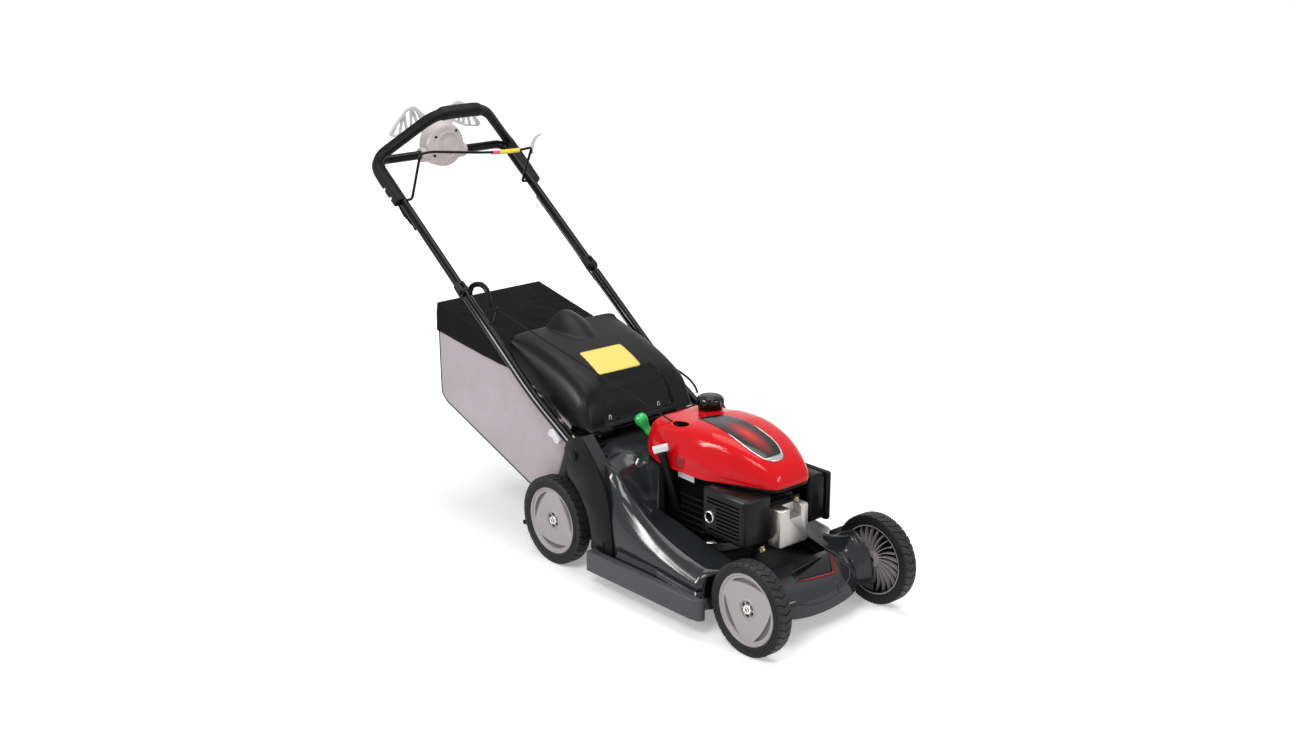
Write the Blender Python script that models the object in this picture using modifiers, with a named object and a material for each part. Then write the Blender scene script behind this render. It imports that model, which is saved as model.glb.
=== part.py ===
"""Petrol lawn mower with a rear grass bag, built as separate named sub-parts.

Metres, +Z up. The mower faces -Y, the operator's right hand is at -X, and the
wheels stand on Z = 0. The origin is on the ground, under the middle of the box.
"""
import math

import bmesh
import bpy
from mathutils import Matrix, Vector

GAP = 0.0003
"""Clearance between pieces that touch."""

# Wheels
FRONT_WHEEL_R = 0.115
REAR_WHEEL_R = 0.118
RIM_R = 0.089
TYRE_WIDTH = 0.042
WHEEL_FACE_X = 0.2395
FRONT_AXLE_Y = -0.7125
REAR_AXLE_Y = 0.0055
AXLE_R = 0.008
WHEEL_STEPS = 22
RIM_LIP = 0.003
HUB_R = 0.021
HUB_RING_R = 0.024
WHEEL_BOLT_R = 0.011

# Height adjusters: cross shafts, with an arm and a stub axle at each end
PIVOT_SHAFT_R = 0.0075
SHAFT_HOLE_CLEARANCE = 0.0006
FRONT_PIVOT = (-0.600, 0.100)
REAR_PIVOT = (-0.120, 0.100)
ARM_THICKNESS = 0.0045
ARM_RADIUS = 0.016
FRONT_ARM_X = 0.1760
REAR_ARM_X = 0.1910
AXLE_END_X = 0.2300
ADJUST_RANGE = math.radians(24)

# Deck
DECK_WALL = 0.004
NOSE_Y = -0.742
NOSE_HALF_WIDTH = 0.190
NOSE_LINE = ((0.090, 0.0), (0.131, 0.012), (0.150, 0.034), (0.170, 0.017), (0.180, 0.008))
DECK_HALF_WIDTH = 0.243
SHOULDER_HALF_WIDTH = 0.2355
DECK_REAR_Y = -0.100
DECK_REAR_LEAN = 0.00055
DECK_HEM_Z = 0.060
NOSE_HEM_Z = 0.045
FLANK_FOOT_Z = 0.105
BAY_FLOOR_Z = 0.125
BAY_HALF_WIDTH = 0.131
BAY_REAR_Y = -0.260
BLOCK_EDGE_Y = -0.291
BAY_FRONT_Y = -0.632
FULL_WIDTH_FRONT_Y = -0.545
WHEEL_BAY_REAR_Y = -0.586
NOSE_BEND_Y = -0.655
NOSE_RIM_Z = 0.138
DECK_REAR_TOP_Z = 0.338

# Side skirts
SKIRT_DEPTH = 0.025
SKIRT_OUTER_X = DECK_HALF_WIDTH + SKIRT_DEPTH
SKIRT_BOTTOM_Z = 0.045
SKIRT_TOP_Z = 0.100
SKIRT_FRONT_Y = -0.585
SKIRT_REAR_Y = -0.172
SKIRT_BEVEL = 0.005

# Towers that carry the handle and the hinge rod
TOWER_INNER_X = SHOULDER_HALF_WIDTH + GAP
TOWER_THICKNESS = 0.008
HINGE_Y = -0.088
HINGE_Z = 0.364
HINGE_ROD_R = 0.004
HANDLE_FOOT = (-0.100, 0.329)
TOWER_BOLT = (-0.211, 0.120)
TOWER_BOX_INNER_X = SHOULDER_HALF_WIDTH - 0.0435

# Discharge chute, its rear frame and the bag's mouth
CHUTE_FRONT_TOP_Z = DECK_REAR_TOP_Z - 0.0025
CHUTE_WALL = 0.003
CHUTE_FLOOR_Z = 0.186
CHUTE_TOP = (-0.012, 0.370)
CHUTE_FOOT = (0.052, 0.200)
APRON_HALF_WIDTH = 0.165
APRON_THICKNESS = 0.004
APRON_HINGE = (0.040, 0.1924)
APRON_TIP = (0.181, 0.048)
APRON_ROD_R = 0.0065
APRON_ROD_HALF = 0.192
BEARING_REACH = 0.066

# Engine
CRANK_Y = -0.365
CRANK_R = 0.0125
BLOCK_HALF_WIDTH = 0.074
BLOCK_REAR_Y = -0.278
BLOCK_FRONT_Y = -0.452
BLOCK_TOP_Z = 0.288
BARREL_HALF_WIDTH = 0.050
BARREL_FRONT_Y = -0.598
BARREL_BOTTOM_Z = 0.186
BARREL_TOP_Z = 0.286
FIN_COUNT = 6
FIN_THICKNESS = 0.0035
FIN_DEPTH = 0.008
FLANGE_R = 0.096
FLANGE_THICKNESS = 0.010
SUMP_R = 0.092
SUMP_TOP_R = 0.078
HEAD_COVER_SIZE = (0.100, 0.046, 0.100)
HEAD_COVER_X = -0.006
FLYWHEEL_R = 0.086
FLYWHEEL_BOTTOM_Z = 0.294
FLYWHEEL_TOP_Z = 0.326

# Muffler guard
GUARD_OUTER_X = -0.142
GUARD_INNER_X = -(BARREL_HALF_WIDTH + FIN_DEPTH + GAP)
GUARD_REAR_Y = -0.462
GUARD_FRONT_Y = -0.612
GUARD_BOTTOM_Z = 0.204
GUARD_TOP_Z = 0.326
GUARD_WALL = 0.003
LOUVRES = 9
LOUVRE_PITCH = 0.0098
LOUVRE_HEIGHT = 0.0045
OUTLET_R = 0.0125
OUTLET_Y = -0.494
OUTLET_Z = 0.256

# Air cleaner and carburettor
CLEANER_INNER_X = 0.090
CLEANER_OUTER_X = 0.166
CLEANER_REAR_Y = -0.462
CLEANER_FRONT_Y = -0.602
CLEANER_BOTTOM_Z = 0.206
CLEANER_TOP_Z = 0.328

# Engine cover
COVER_BOTTOM_Z = 0.338
COVER_WALL = 0.003
COVER_REAR_Y = -0.206
COVER_NOSE_Y = -0.626
COVER_WIDE_Y = -0.350
COVER_HALF_WIDTH = 0.126
COVER_SHIFT_X = 0.006
ROPE_SLOT = (-0.072, -0.302)
ROPE_SLOT_HALF = (0.016, 0.012)

# Fuel tank and cap
FILLER_X = 0.052
FILLER_Y = -0.287
NECK_R = 0.020
CAP_R = 0.036
CAP_BOTTOM_Z = 0.432
CAP_TOP_Z = 0.472
CAP_KNURLS = 8

# Oil filler
OIL_TUBE_R = 0.0105
OIL_TUBE_TOP = (-0.1380, -0.318, 0.362)
OIL_TUBE_FOOT = (-0.0870, -0.336, 0.176)

# Blades
BLADE_R = 0.228
BLADE_WIDTH = 0.050
BLADE_THICKNESS = 0.003
BLADE_Z = 0.066
BLADE_SPACING = 0.0145

# Handle
TUBE_R = 0.0125
TUBE_X = TOWER_INNER_X - GAP - TUBE_R
TUBE_SLOPE_DEG = 36.9
COLLAR = (0.385, 0.6575)
KNEE_Y = 0.092
CROSS_Y = 0.784
CORNER_BEND = 0.034
FOLD_PIN_R = 0.004
FOLD_KNUCKLE_R = 0.0135
FOLD_TONGUE = 0.0070
FOLD_REACH = 0.0225
FOLD_LAP = 0.008

# Moulded control loop
LOOP_CORNER = (TUBE_X + 0.024, 0.789, 0.958)
LOOP_TOP = (0.084, 0.688, 1.084)
LOOP_LEG_FOOT_Y = 0.652
LOOP_WIDTH = 0.030
LOOP_DEPTH = 0.026

# Drive control
HOUSING_R = 0.064
HOUSING_Z = 0.981
HOUSING_FRONT_Y = 0.752
HOUSING_REAR_Y = 0.808
PADDLE_PIVOT_Z = 1.043
PADDLE_THICKNESS = 0.010

# Blade control bail
BAIL_R = 0.004
BAIL_X = TUBE_X - 0.031
BAIL_PIVOT_Y = 0.660
BAIL_TOP = (0.611, 0.985)

# Starter, cables and their springs, inside the handle tubes
ROPE_R = 0.0020
GRIP_R = 0.0075
GUIDE_X = TUBE_X - TUBE_R - GRIP_R - 0.007
GUIDE_POINT = (0.322, 0.636)
EYE_Y = 0.282
ROPE_END = (ROPE_SLOT[0], ROPE_SLOT[1] - 0.003, 0.4225)
CABLE_R = 0.0030
CABLE_DROP = TUBE_R + CABLE_R + GAP
CABLE_BOW = 0.0022
SPRING_R = 0.0070
SPRING_WIRE_R = 0.0011
SPRING_X = TUBE_X - TUBE_R - 0.0039 - SPRING_R - SPRING_WIRE_R
SPRING_TOP = (0.0860, 0.4340)
SPRING_UPPER_END = (0.0155, 0.3880)
SPRING_LOWER_TOP = (0.0030, 0.3790)
SPRING_FOOT = (-0.0375, 0.3560)
SPRING_TURNS_UPPER = 13
SPRING_TURNS_LOWER = 7
COIL_STEPS = 7

# Bag
BAG_HALF_WIDTH = SPRING_X - SPRING_R - SPRING_WIRE_R - 0.0124
BAG_WALL = 0.004
BAG_CLOTH = 0.0025
BAG_FRAME_R = 0.005
BAG_LIP = (0.050, 0.420)
BAG_RIDGE = (0.240, 0.508)
BAG_REAR = (0.572, 0.580)
FLAP_DEPTH = 0.0745

# Hood and chute, as wide as the bag and its clearances
HOOD_HALF_WIDTH = BAG_HALF_WIDTH + 0.009
HOOD_WALL = 0.003
HOOD_REAR_Y = 0.236
HOOD_REAR_Z = 0.562
HOOD_HUMP = 0.036
CHUTE_HALF_WIDTH = BAG_HALF_WIDTH + 0.002
CHUTE_FRONT_HALF_WIDTH = BAG_HALF_WIDTH + 0.009

# Mowing director: the lever on the deck and its slot
LEVER_FOOT = (-0.0225, -0.1810, 0.314)
LEVER_TOP = (-0.0475, -0.1300, 0.390)
LEVER_R = 0.0055
LEVER_SLOT = ((-0.0415, -0.1820, 0.300), (-0.0145, -0.1600, 0.350))

FRONT_AXLE = (FRONT_AXLE_Y, FRONT_WHEEL_R)
REAR_AXLE = (REAR_AXLE_Y, REAR_WHEEL_R)
SLOPE = math.radians(TUBE_SLOPE_DEG)
RIGHT = -1
LEFT = 1


def clear_scene():
    """Removes what the startup file holds."""
    for obj in list(bpy.data.objects):
        bpy.data.objects.remove(obj, do_unlink=True)


def collection(name):
    found = bpy.data.collections.new(name)
    bpy.context.scene.collection.children.link(found)
    return found


def material(name, rgb, roughness, metallic=0.0):
    mat = bpy.data.materials.new(name)
    mat.use_nodes = True
    shader = mat.node_tree.nodes["Principled BSDF"]
    shader.inputs["Base Color"].default_value = (*rgb, 1.0)
    shader.inputs["Roughness"].default_value = roughness
    shader.inputs["Metallic"].default_value = metallic
    mat.diffuse_color = (*rgb, 1.0)
    return mat


def put_in(obj, target):
    for old in list(obj.users_collection):
        old.objects.unlink(obj)
    target.objects.link(obj)


def part(obj, name, mat, pivot=None):
    """Makes obj a named sub-part of the mower, with its origin on its joint."""
    obj.name = name
    obj.data.materials.clear()
    obj.data.materials.append(mat)
    put_in(obj, PARTS)
    if obj.type == "MESH":
        obj.data.shade_smooth()
        obj.data.set_sharp_from_angle(angle=math.radians(35))
    if pivot is not None:
        move_origin(obj, pivot)
    return obj


def move_origin(obj, point):
    """Puts the object's origin at a point in the world and leaves its shape there."""
    bpy.context.view_layer.update()
    offset = obj.matrix_world.inverted() @ Vector(point)
    obj.data.transform(Matrix.Translation(-offset))
    obj.matrix_world = obj.matrix_world @ Matrix.Translation(offset)


def tool(obj):
    """Makes obj a helper that only cuts or joins another."""
    obj.hide_render = True
    obj.display_type = "WIRE"
    put_in(obj, CUTTERS)
    return obj


def new_mesh(name, points, faces, edges=()):
    mesh = bpy.data.meshes.new(name)
    mesh.from_pydata([tuple(p) for p in points], list(edges), faces)
    obj = bpy.data.objects.new(name, mesh)
    bpy.context.scene.collection.objects.link(obj)
    return obj


def face_outward(obj):
    form = bmesh.new()
    form.from_mesh(obj.data)
    bmesh.ops.recalc_face_normals(form, faces=form.faces)
    form.to_mesh(obj.data)
    form.free()
    return obj


def box(name, low, high, bevel=0.0, segments=1):
    """A box between two corners, with rounded edges where a bevel is given."""
    size = [b - a for a, b in zip(low, high)]
    centre = [(a + b) / 2 for a, b in zip(low, high)]
    bpy.ops.mesh.primitive_cube_add(size=1.0, location=centre)
    obj = bpy.context.object
    obj.name = name
    obj.data.transform(Matrix.Diagonal((*size, 1.0)))
    if bevel:
        rounded = obj.modifiers.new("rounded", "BEVEL")
        rounded.width = bevel
        rounded.segments = segments
    return obj


AXES = {
    "X": Matrix(((0, 0, 1), (1, 0, 0), (0, 1, 0))),
    "Y": Matrix(((1, 0, 0), (0, 0, -1), (0, 1, 0))),
    "Z": Matrix.Identity(3),
}
"""Turns a local Z axis to a world axis: X, minus Y, or Z."""


def along(axis, centre):
    return Matrix.Translation(Vector(centre)) @ AXES[axis].to_4x4()


def cylinder(name, radius, low, high, axis, centre, vertices=20, top_radius=None):
    """A cylinder or cone along an axis, from low to high on it; centre gives its other two places."""
    top = radius if top_radius is None else top_radius
    bpy.ops.mesh.primitive_cone_add(
        vertices=vertices, radius1=radius, radius2=top, depth=high - low
    )
    obj = bpy.context.object
    obj.name = name
    middle = (low + high) / 2
    place = {
        "X": (middle, centre[0], centre[1]),
        "Y": (centre[0], middle, centre[1]),
        "Z": (centre[0], centre[1], middle),
    }[axis]
    obj.matrix_world = along(axis, place)
    bake(obj)
    return obj


def bake(obj):
    """Puts the object's place into its mesh."""
    obj.data.transform(obj.matrix_world)
    obj.matrix_world = Matrix.Identity(4)
    return obj


def turned(name, profile, axis, centre, steps, closed=False):
    """A profile of (radius, height) points, top to bottom, turned round an axis through centre."""
    points = [(r, 0.0, z) for r, z in profile]
    edges = [(i, i + 1) for i in range(len(points) - 1)]
    if closed:
        edges.append((len(points) - 1, 0))
    obj = new_mesh(name, points, [], edges)
    screw = obj.modifiers.new("turned", "SCREW")
    screw.steps = steps
    screw.render_steps = steps
    screw.use_merge_vertices = True
    screw.merge_threshold = 0.00001
    obj.matrix_world = along(axis, centre)
    return obj


def solid(obj):
    """The object's evaluated shape as a plain mesh object at the origin, with its caps welded."""
    bpy.context.view_layer.update()
    graph = bpy.context.evaluated_depsgraph_get()
    mesh = bpy.data.meshes.new_from_object(obj.evaluated_get(graph))
    form = bmesh.new()
    form.from_mesh(mesh)
    bmesh.ops.remove_doubles(form, verts=form.verts, dist=0.00001)
    form.to_mesh(mesh)
    form.free()
    made = bpy.data.objects.new(obj.name, mesh)
    made.matrix_world = obj.matrix_world.copy()
    bpy.context.scene.collection.objects.link(made)
    bpy.data.objects.remove(obj, do_unlink=True)
    return bake(made)


def combine(obj, other, operation):
    tool(other)
    change = obj.modifiers.new(operation.lower(), "BOOLEAN")
    change.operation = operation
    change.object = other
    return obj


def cut(obj, *cutters):
    for cutter in cutters:
        combine(obj, cutter, "DIFFERENCE")
    return obj


def join(obj, *others):
    for other in others:
        combine(obj, other, "UNION")
    return obj


def tube(name, points, radius, resolution=2, cyclic=False):
    """A round rod or tube along a chain of points."""
    data = bpy.data.curves.new(name, "CURVE")
    data.dimensions = "3D"
    data.bevel_depth = radius
    data.bevel_resolution = resolution
    data.use_fill_caps = True
    line = data.splines.new("POLY")
    line.points.add(len(points) - 1)
    for point, place in zip(line.points, points):
        point.co = (*place, 1.0)
    line.use_cyclic_u = cyclic
    obj = bpy.data.objects.new(name, data)
    bpy.context.scene.collection.objects.link(obj)
    return obj


def rounded_path(corners, radius, steps=4):
    """The chain of corners with each inner corner replaced by a short arc."""
    path = [Vector(corners[0])]
    for before, corner, after in zip(corners, corners[1:], corners[2:]):
        corner = Vector(corner)
        start = (Vector(before) - corner).normalized()
        end = (Vector(after) - corner).normalized()
        reach = min(radius, (Vector(before) - corner).length / 2.01, (Vector(after) - corner).length / 2.01)
        for i in range(steps + 1):
            t = i / steps
            path.append(corner + start * reach * (1 - t) ** 2 + end * reach * t**2)
    path.append(Vector(corners[-1]))
    return path


def plate(name, outline, low, high, normal, holes=()):
    """A flat outline with a thickness from low to high along its normal.

    The outline's two numbers are (y, z) for X, (x, z) for Y and (x, y) for Z.
    """
    data = bpy.data.curves.new(name, "CURVE")
    data.dimensions = "2D"
    data.fill_mode = "BOTH"
    data.extrude = (high - low) / 2
    for loop in (outline, *holes):
        line = data.splines.new("POLY")
        line.points.add(len(loop) - 1)
        for point, place in zip(line.points, loop):
            point.co = (place[0], place[1], 0.0, 1.0)
        line.use_cyclic_u = True
    obj = bpy.data.objects.new(name, data)
    bpy.context.scene.collection.objects.link(obj)
    middle = (low + high) / 2
    place = {"X": (middle, 0, 0), "Y": (0, middle, 0), "Z": (0, 0, middle)}[normal]
    obj.matrix_world = along(normal, place)
    return solid(obj)


def circle(centre, radius, count=16, start=0.0):
    return [
        (
            centre[0] + radius * math.cos(start + math.tau * i / count),
            centre[1] + radius * math.sin(start + math.tau * i / count),
        )
        for i in range(count)
    ]


def loft(name, rings, capped=True):
    """A skin through closed rings of as many points each, with flat ends."""
    count = len(rings[0])
    points = [p for ring in rings for p in ring]
    faces = []
    for i in range(len(rings) - 1):
        for j in range(count):
            a, b = i * count + j, i * count + (j + 1) % count
            faces.append((a, b, b + count, a + count))
    if capped:
        faces.append(tuple(range(count))[::-1])
        last = (len(rings) - 1) * count
        faces.append(tuple(range(last, last + count)))
    return face_outward(new_mesh(name, points, faces))


def section(width, depth, corner, steps=2):
    """A rounded rectangle round the origin."""
    points = []
    for cx, cy, start in ((1, 1, 0), (-1, 1, 90), (-1, -1, 180), (1, -1, 270)):
        for i in range(steps + 1):
            turn = math.radians(start + 90 * i / steps)
            points.append(
                (
                    cx * (width / 2 - corner) + corner * math.cos(turn),
                    cy * (depth / 2 - corner) + corner * math.sin(turn),
                )
            )
    return points


def sweep(name, path, outline, up):
    """An outline carried along a path, with its second axis held towards up."""
    rings = []
    for i, place in enumerate(path):
        ahead = path[min(i + 1, len(path) - 1)] - path[max(i - 1, 0)]
        side = ahead.cross(Vector(up)).normalized()
        top = side.cross(ahead).normalized()
        rings.append([place + side * a + top * b for a, b in outline])
    return loft(name, rings)


def blend(points, value):
    """A smooth curve through (place, value) pairs, read at one place."""
    if value <= points[0][0]:
        return points[0][1]
    for (x0, y0), (x1, y1) in zip(points, points[1:]):
        if value <= x1:
            t = (value - x0) / (x1 - x0)
            return y0 + (y1 - y0) * t * t * (3 - 2 * t)
    return points[-1][1]


def line_at(points, value):
    """A straight-sided curve through (place, value) pairs, read at one place."""
    if value <= points[0][0]:
        return points[0][1]
    for (x0, y0), (x1, y1) in zip(points, points[1:]):
        if value <= x1:
            return y0 + (y1 - y0) * (value - x0) / (x1 - x0)
    return points[-1][1]


def tube_z(y):
    """Height of the straight handle tube's middle line."""
    return COLLAR[1] + (y - COLLAR[0]) * math.tan(SLOPE)


def across(half):
    """A half section from the middle outward, made whole from one side to the other."""
    return [(-x, z) for x, z in half[:0:-1]] + list(half)


def skin(name, rows, wall):
    """A sheet through rows of points, thickened inward."""
    count = len(rows[0])
    points = [p for row in rows for p in row]
    faces = []
    for i in range(len(rows) - 1):
        for j in range(count - 1):
            a = i * count + j
            faces.append((a, a + 1, a + count + 1, a + count))
    obj = new_mesh(name, points, faces)
    thicken(obj, wall)
    return obj


def thicken(obj, wall):
    face_up(obj)
    shell = obj.modifiers.new("wall", "SOLIDIFY")
    shell.thickness = wall
    shell.offset = -1.0
    return obj


def face_up(obj):
    """Turns the sheet so that most of its normals point up."""
    form = bmesh.new()
    form.from_mesh(obj.data)
    bmesh.ops.recalc_face_normals(form, faces=form.faces)
    if sum(f.normal.z * f.calc_area() for f in form.faces) < 0:
        bmesh.ops.reverse_faces(form, faces=form.faces)
    form.to_mesh(obj.data)
    form.free()


DECK_STATIONS = (
    DECK_REAR_Y, -0.150, -0.166, -0.205, -0.238,
    BAY_REAR_Y + 0.003, BAY_REAR_Y, BLOCK_EDGE_Y + 0.003, BLOCK_EDGE_Y, -0.325, -0.366,
    -0.430, -0.490, -0.542, -0.586, BAY_FRONT_Y + 0.006, BAY_FRONT_Y, -0.655,
    -0.678, -0.700, -0.722, -0.736, NOSE_Y,
)
PLATEAU_LINE = ((BAY_REAR_Y, 0.322), (-0.205, 0.324), (-0.166, 0.329), (DECK_REAR_Y, DECK_REAR_TOP_Z))
RIM_LINE = (
    (-0.742, 0.085), (-0.736, 0.100), (-0.722, 0.113), (-0.700, 0.122), (-0.655, 0.135),
    (BAY_FRONT_Y, NOSE_RIM_Z), (-0.552, 0.152), (-0.466, 0.171), (-0.366, 0.194),
    (-0.310, 0.204), (-0.270, 0.226), (-0.235, 0.277), (-0.205, 0.322), (-0.166, 0.327),
    (DECK_REAR_Y, 0.335),
)
"""Height of the bay's rim, 131 mm out from the middle."""
SHOULDER_LINE = (
    (-0.742, 0.085), (-0.736, 0.116), (-0.722, 0.145), (-0.700, 0.164), (-0.672, 0.177),
    (-0.641, 0.166), (-0.586, 0.141), (-0.545, 0.128), (-0.450, 0.146), (-0.350, 0.184),
    (-0.270, 0.235), (-0.215, 0.274), (-0.166, 0.294), (-0.150, 0.297), (DECK_REAR_Y, 0.301),
)
"""Height of the shoulder, where the flank begins."""


def deck_width(y, middle, front, rear):
    """A half width that is full beside the blades and smaller between the wheels."""
    return line_at(
        ((WHEEL_BAY_REAR_Y, front), (FULL_WIDTH_FRONT_Y, middle), (-0.166, middle), (-0.150, rear)),
        y,
    )


def deck_section(y):
    """Half of the deck's section at y, from the middle to the hem."""
    rim = line_at(RIM_LINE, y)
    shoulder = line_at(SHOULDER_LINE, y)
    in_bay = BAY_FRONT_Y < y <= BAY_REAR_Y
    floor = BAY_FLOOR_Z if in_bay else rim
    edge = rim - 0.003
    inner = 0.118
    if y > BLOCK_EDGE_Y:
        edge = line_at(PLATEAU_LINE, y)
        inner = 0.101
        floor = BAY_FLOOR_Z if in_bay else edge
    top = inner + 0.006
    crest = BAY_HALF_WIDTH
    outer = deck_width(y, SHOULDER_HALF_WIDTH, NOSE_HALF_WIDTH - 0.002, 0.184)
    foot = deck_width(y, DECK_HALF_WIDTH, NOSE_HALF_WIDTH, 0.190)
    if y > BAY_REAR_Y + 0.002:
        foot = min(foot, SHOULDER_HALF_WIDTH)
    hem = blend(((-0.700, NOSE_HEM_Z), (WHEEL_BAY_REAR_Y, DECK_HEM_Z)), y)
    low = min(FLANK_FOOT_Z, (shoulder + hem) / 2)
    flute = 0.35 if y > -0.54 else 0.12
    return [
        (0.0, floor),
        (inner, floor),
        (top, edge),
        (min(top + 0.016, crest - 0.004), max(edge - 0.001, rim)),
        (crest, rim),
        (crest + (outer - crest) * 0.30, rim + (shoulder - rim) * flute),
        (crest + (outer - crest) * 0.68, rim + (shoulder - rim) * (flute + 0.30)),
        (outer - 0.008, shoulder + 0.004),
        (outer, shoulder - 0.004),
        ((outer + foot) / 2, (shoulder + low) / 2),
        (foot, low),
        (foot, hem),
    ]


def nose_back(x):
    """How far the nose falls back at x from the middle."""
    return line_at(NOSE_LINE, abs(x))


def deck_row(y):
    bend = blend(((NOSE_Y, 1.0), (NOSE_BEND_Y, 0.0)), y)
    return [(x, y + nose_back(x) * bend, z) for x, z in across(deck_section(y))]


def deck_nose(rows):
    """Points and faces of the upright lip that closes the front of the deck."""
    count = len(rows[-1])
    first = len(rows) * count - count
    lip = [(x, y, NOSE_HEM_Z) for x, y, z in rows[-1][4:-4]]
    base = len(rows) * count
    faces = [
        (first + 4 + k, first + 5 + k, base + k + 1, base + k) for k in range(len(lip) - 1)
    ]
    last = first + count - 1
    faces.append((*range(first, first + 5), base))
    faces.append((base + len(lip) - 1, *range(last - 4, last + 1)))
    return lip, faces


def tower_box(side):
    """Upright of the deck in front of a handle tube, open to the wheel."""
    front = [(-0.204, 0.270), (-0.177, 0.3157), (-0.135, 0.359), (-0.1156, 0.379), (-0.1125, 0.379)]
    rear = [(-0.1125, 0.306), (-0.158, 0.284), (-0.196, 0.262)]
    ends = sorted((side * TOWER_BOX_INNER_X, side * SHOULDER_HALF_WIDTH))
    block = plate("tower_box", front + rear, ends[0], ends[1], "X")
    room = [(-0.1560, 0.330), (-0.1330, 0.3535), (-0.1190, 0.3680), (-0.100, 0.3680), (-0.100, 0.290)]
    room.append((-0.1560, 0.270))
    ends = sorted((side * (TOWER_BOX_INNER_X + DECK_WALL), side * (SHOULDER_HALF_WIDTH - DECK_WALL)))
    return cut(block, plate("tower_room", room, ends[0], ends[1], "X"))


def deck_shell():
    rows = [deck_row(y) for y in DECK_STATIONS]
    count = len(rows[0])
    lip, faces = deck_nose(rows)
    points = [p for row in rows for p in row] + lip
    for i in range(len(rows) - 1):
        for j in range(count - 1):
            a = i * count + j
            faces.append((a, a + 1, a + count + 1, a + count))
    obj = new_mesh("deck_shell", points, faces)
    thicken(obj, DECK_WALL)
    for side in (RIGHT, LEFT):
        join(obj, tower_box(side))
    crank = cylinder("crank_hole", 0.034, 0.09, 0.16, "Z", (0, CRANK_Y), 24)
    hole_r = PIVOT_SHAFT_R + SHAFT_HOLE_CLEARANCE
    cut(obj, crank, box("lever_slot", *LEVER_SLOT))
    for y, z in (FRONT_PIVOT, REAR_PIVOT):
        cut(obj, cylinder("shaft_hole", hole_r, -0.26, 0.26, "X", (y, z), 16))
    for side in (RIGHT, LEFT):
        cut(obj, axle_slot(side))
    return part(obj, "deck_shell", PLASTIC_GREY)


def arc(centre, radius, start, end, count):
    return [
        (
            centre[0] + radius * math.cos(start + (end - start) * i / count),
            centre[1] + radius * math.sin(start + (end - start) * i / count),
        )
        for i in range(count + 1)
    ]


def axle_slot(side):
    """Cutter for the curved slot in which the front stub axle moves."""
    dy = FRONT_AXLE_Y - FRONT_PIVOT[0]
    dz = FRONT_WHEEL_R - FRONT_PIVOT[1]
    reach = math.hypot(dy, dz)
    start = math.atan2(dz, dy)
    play = AXLE_R + 0.002
    spare = play / reach
    high, low = start - spare, start + ADJUST_RANGE + spare
    outline = arc(FRONT_PIVOT, reach + play, high, low, 8)
    outline += arc(FRONT_PIVOT, reach - play, low, high, 8)
    ends = sorted((side * 0.170, side * 0.215))
    return plate("axle_slot", outline, ends[0], ends[1], "X")


def side_skirt(side, name):
    inner = DECK_HALF_WIDTH + GAP
    outline = [
        (inner, SKIRT_REAR_Y),
        (SKIRT_OUTER_X, SKIRT_REAR_Y),
        (SKIRT_OUTER_X, SKIRT_FRONT_Y + 0.030),
        (SKIRT_OUTER_X - 0.004, SKIRT_FRONT_Y + 0.012),
        (SKIRT_OUTER_X - 0.014, SKIRT_FRONT_Y),
        (inner, SKIRT_FRONT_Y - 0.002),
    ]
    obj = plate(name, [(side * x, y) for x, y in outline], SKIRT_BOTTOM_Z, SKIRT_TOP_Z, "Z")
    rounded = obj.modifiers.new("rounded", "BEVEL")
    rounded.width = SKIRT_BEVEL
    rounded.segments = 2
    rounded.angle_limit = math.radians(60)
    return part(face_outward(obj), name, PLASTIC_DARK)


def tower(side, name):
    bottom = SKIRT_TOP_Z + GAP
    wheel = arc((REAR_AXLE_Y, REAR_WHEEL_R), 0.170, math.radians(187), math.radians(119), 8)
    outline = [(-0.2475, bottom), (-0.243, 0.170), (-0.232, 0.2375), (-0.212, 0.283)]
    outline += [(-0.187, 0.320), (-0.150, 0.358), (-0.126, 0.3825), (-0.117, 0.384)]
    outline += [(-0.077, 0.366), (-0.062, 0.340), (-0.066, 0.308)]
    outline += wheel[::-1]
    outline.append((-0.165, bottom))
    ends = sorted((side * TOWER_INNER_X, side * (TOWER_INNER_X + TOWER_THICKNESS)))
    obj = plate(name, outline, ends[0], ends[1], "X")
    face = TOWER_INNER_X + TOWER_THICKNESS
    for (y, z), radius, height in ((HANDLE_FOOT, 0.013, 0.006), (TOWER_BOLT, 0.007, 0.004)):
        ends = sorted((side * (face - 0.002), side * (face + height)))
        join(obj, cylinder("boss", radius, ends[0], ends[1], "X", (y, z), 14))
    return part(obj, name, PLASTIC_GREY)


def hinge_rod():
    reach = TOWER_INNER_X - GAP
    obj = cylinder("hinge_rod", HINGE_ROD_R, -reach, reach, "X", (HINGE_Y, HINGE_Z), 12)
    return part(obj, "hinge_rod", STEEL)


def chute_ring(t, inset):
    """A chamfered ring round the chute: t is 0 at the deck and 1 at the bag."""
    half = CHUTE_FRONT_HALF_WIDTH + (CHUTE_HALF_WIDTH - CHUTE_FRONT_HALF_WIDTH) * t - inset
    front = DECK_REAR_Y + DECK_REAR_LEAN + GAP
    rise = CHUTE_FRONT_TOP_Z + (CHUTE_TOP[1] - CHUTE_FRONT_TOP_Z) * t
    top = Vector((front + (CHUTE_TOP[0] - front) * t, rise))
    foot = Vector((front + (CHUTE_FOOT[0] - front) * t, CHUTE_FLOOR_Z + (CHUTE_FOOT[1] - CHUTE_FLOOR_Z) * t))
    down = (foot - top).normalized()
    top = top + down * inset
    foot = foot - down * inset
    ring = []
    for side in (RIGHT, LEFT):
        corners = [
            (side * (half - 0.030), *top),
            (side * half, *(top + down * 0.030)),
            (side * half, *(foot - down * 0.012)),
            (side * (half - 0.012), *foot),
        ]
        ring += corners if side == RIGHT else corners[::-1]
    return ring


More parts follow.
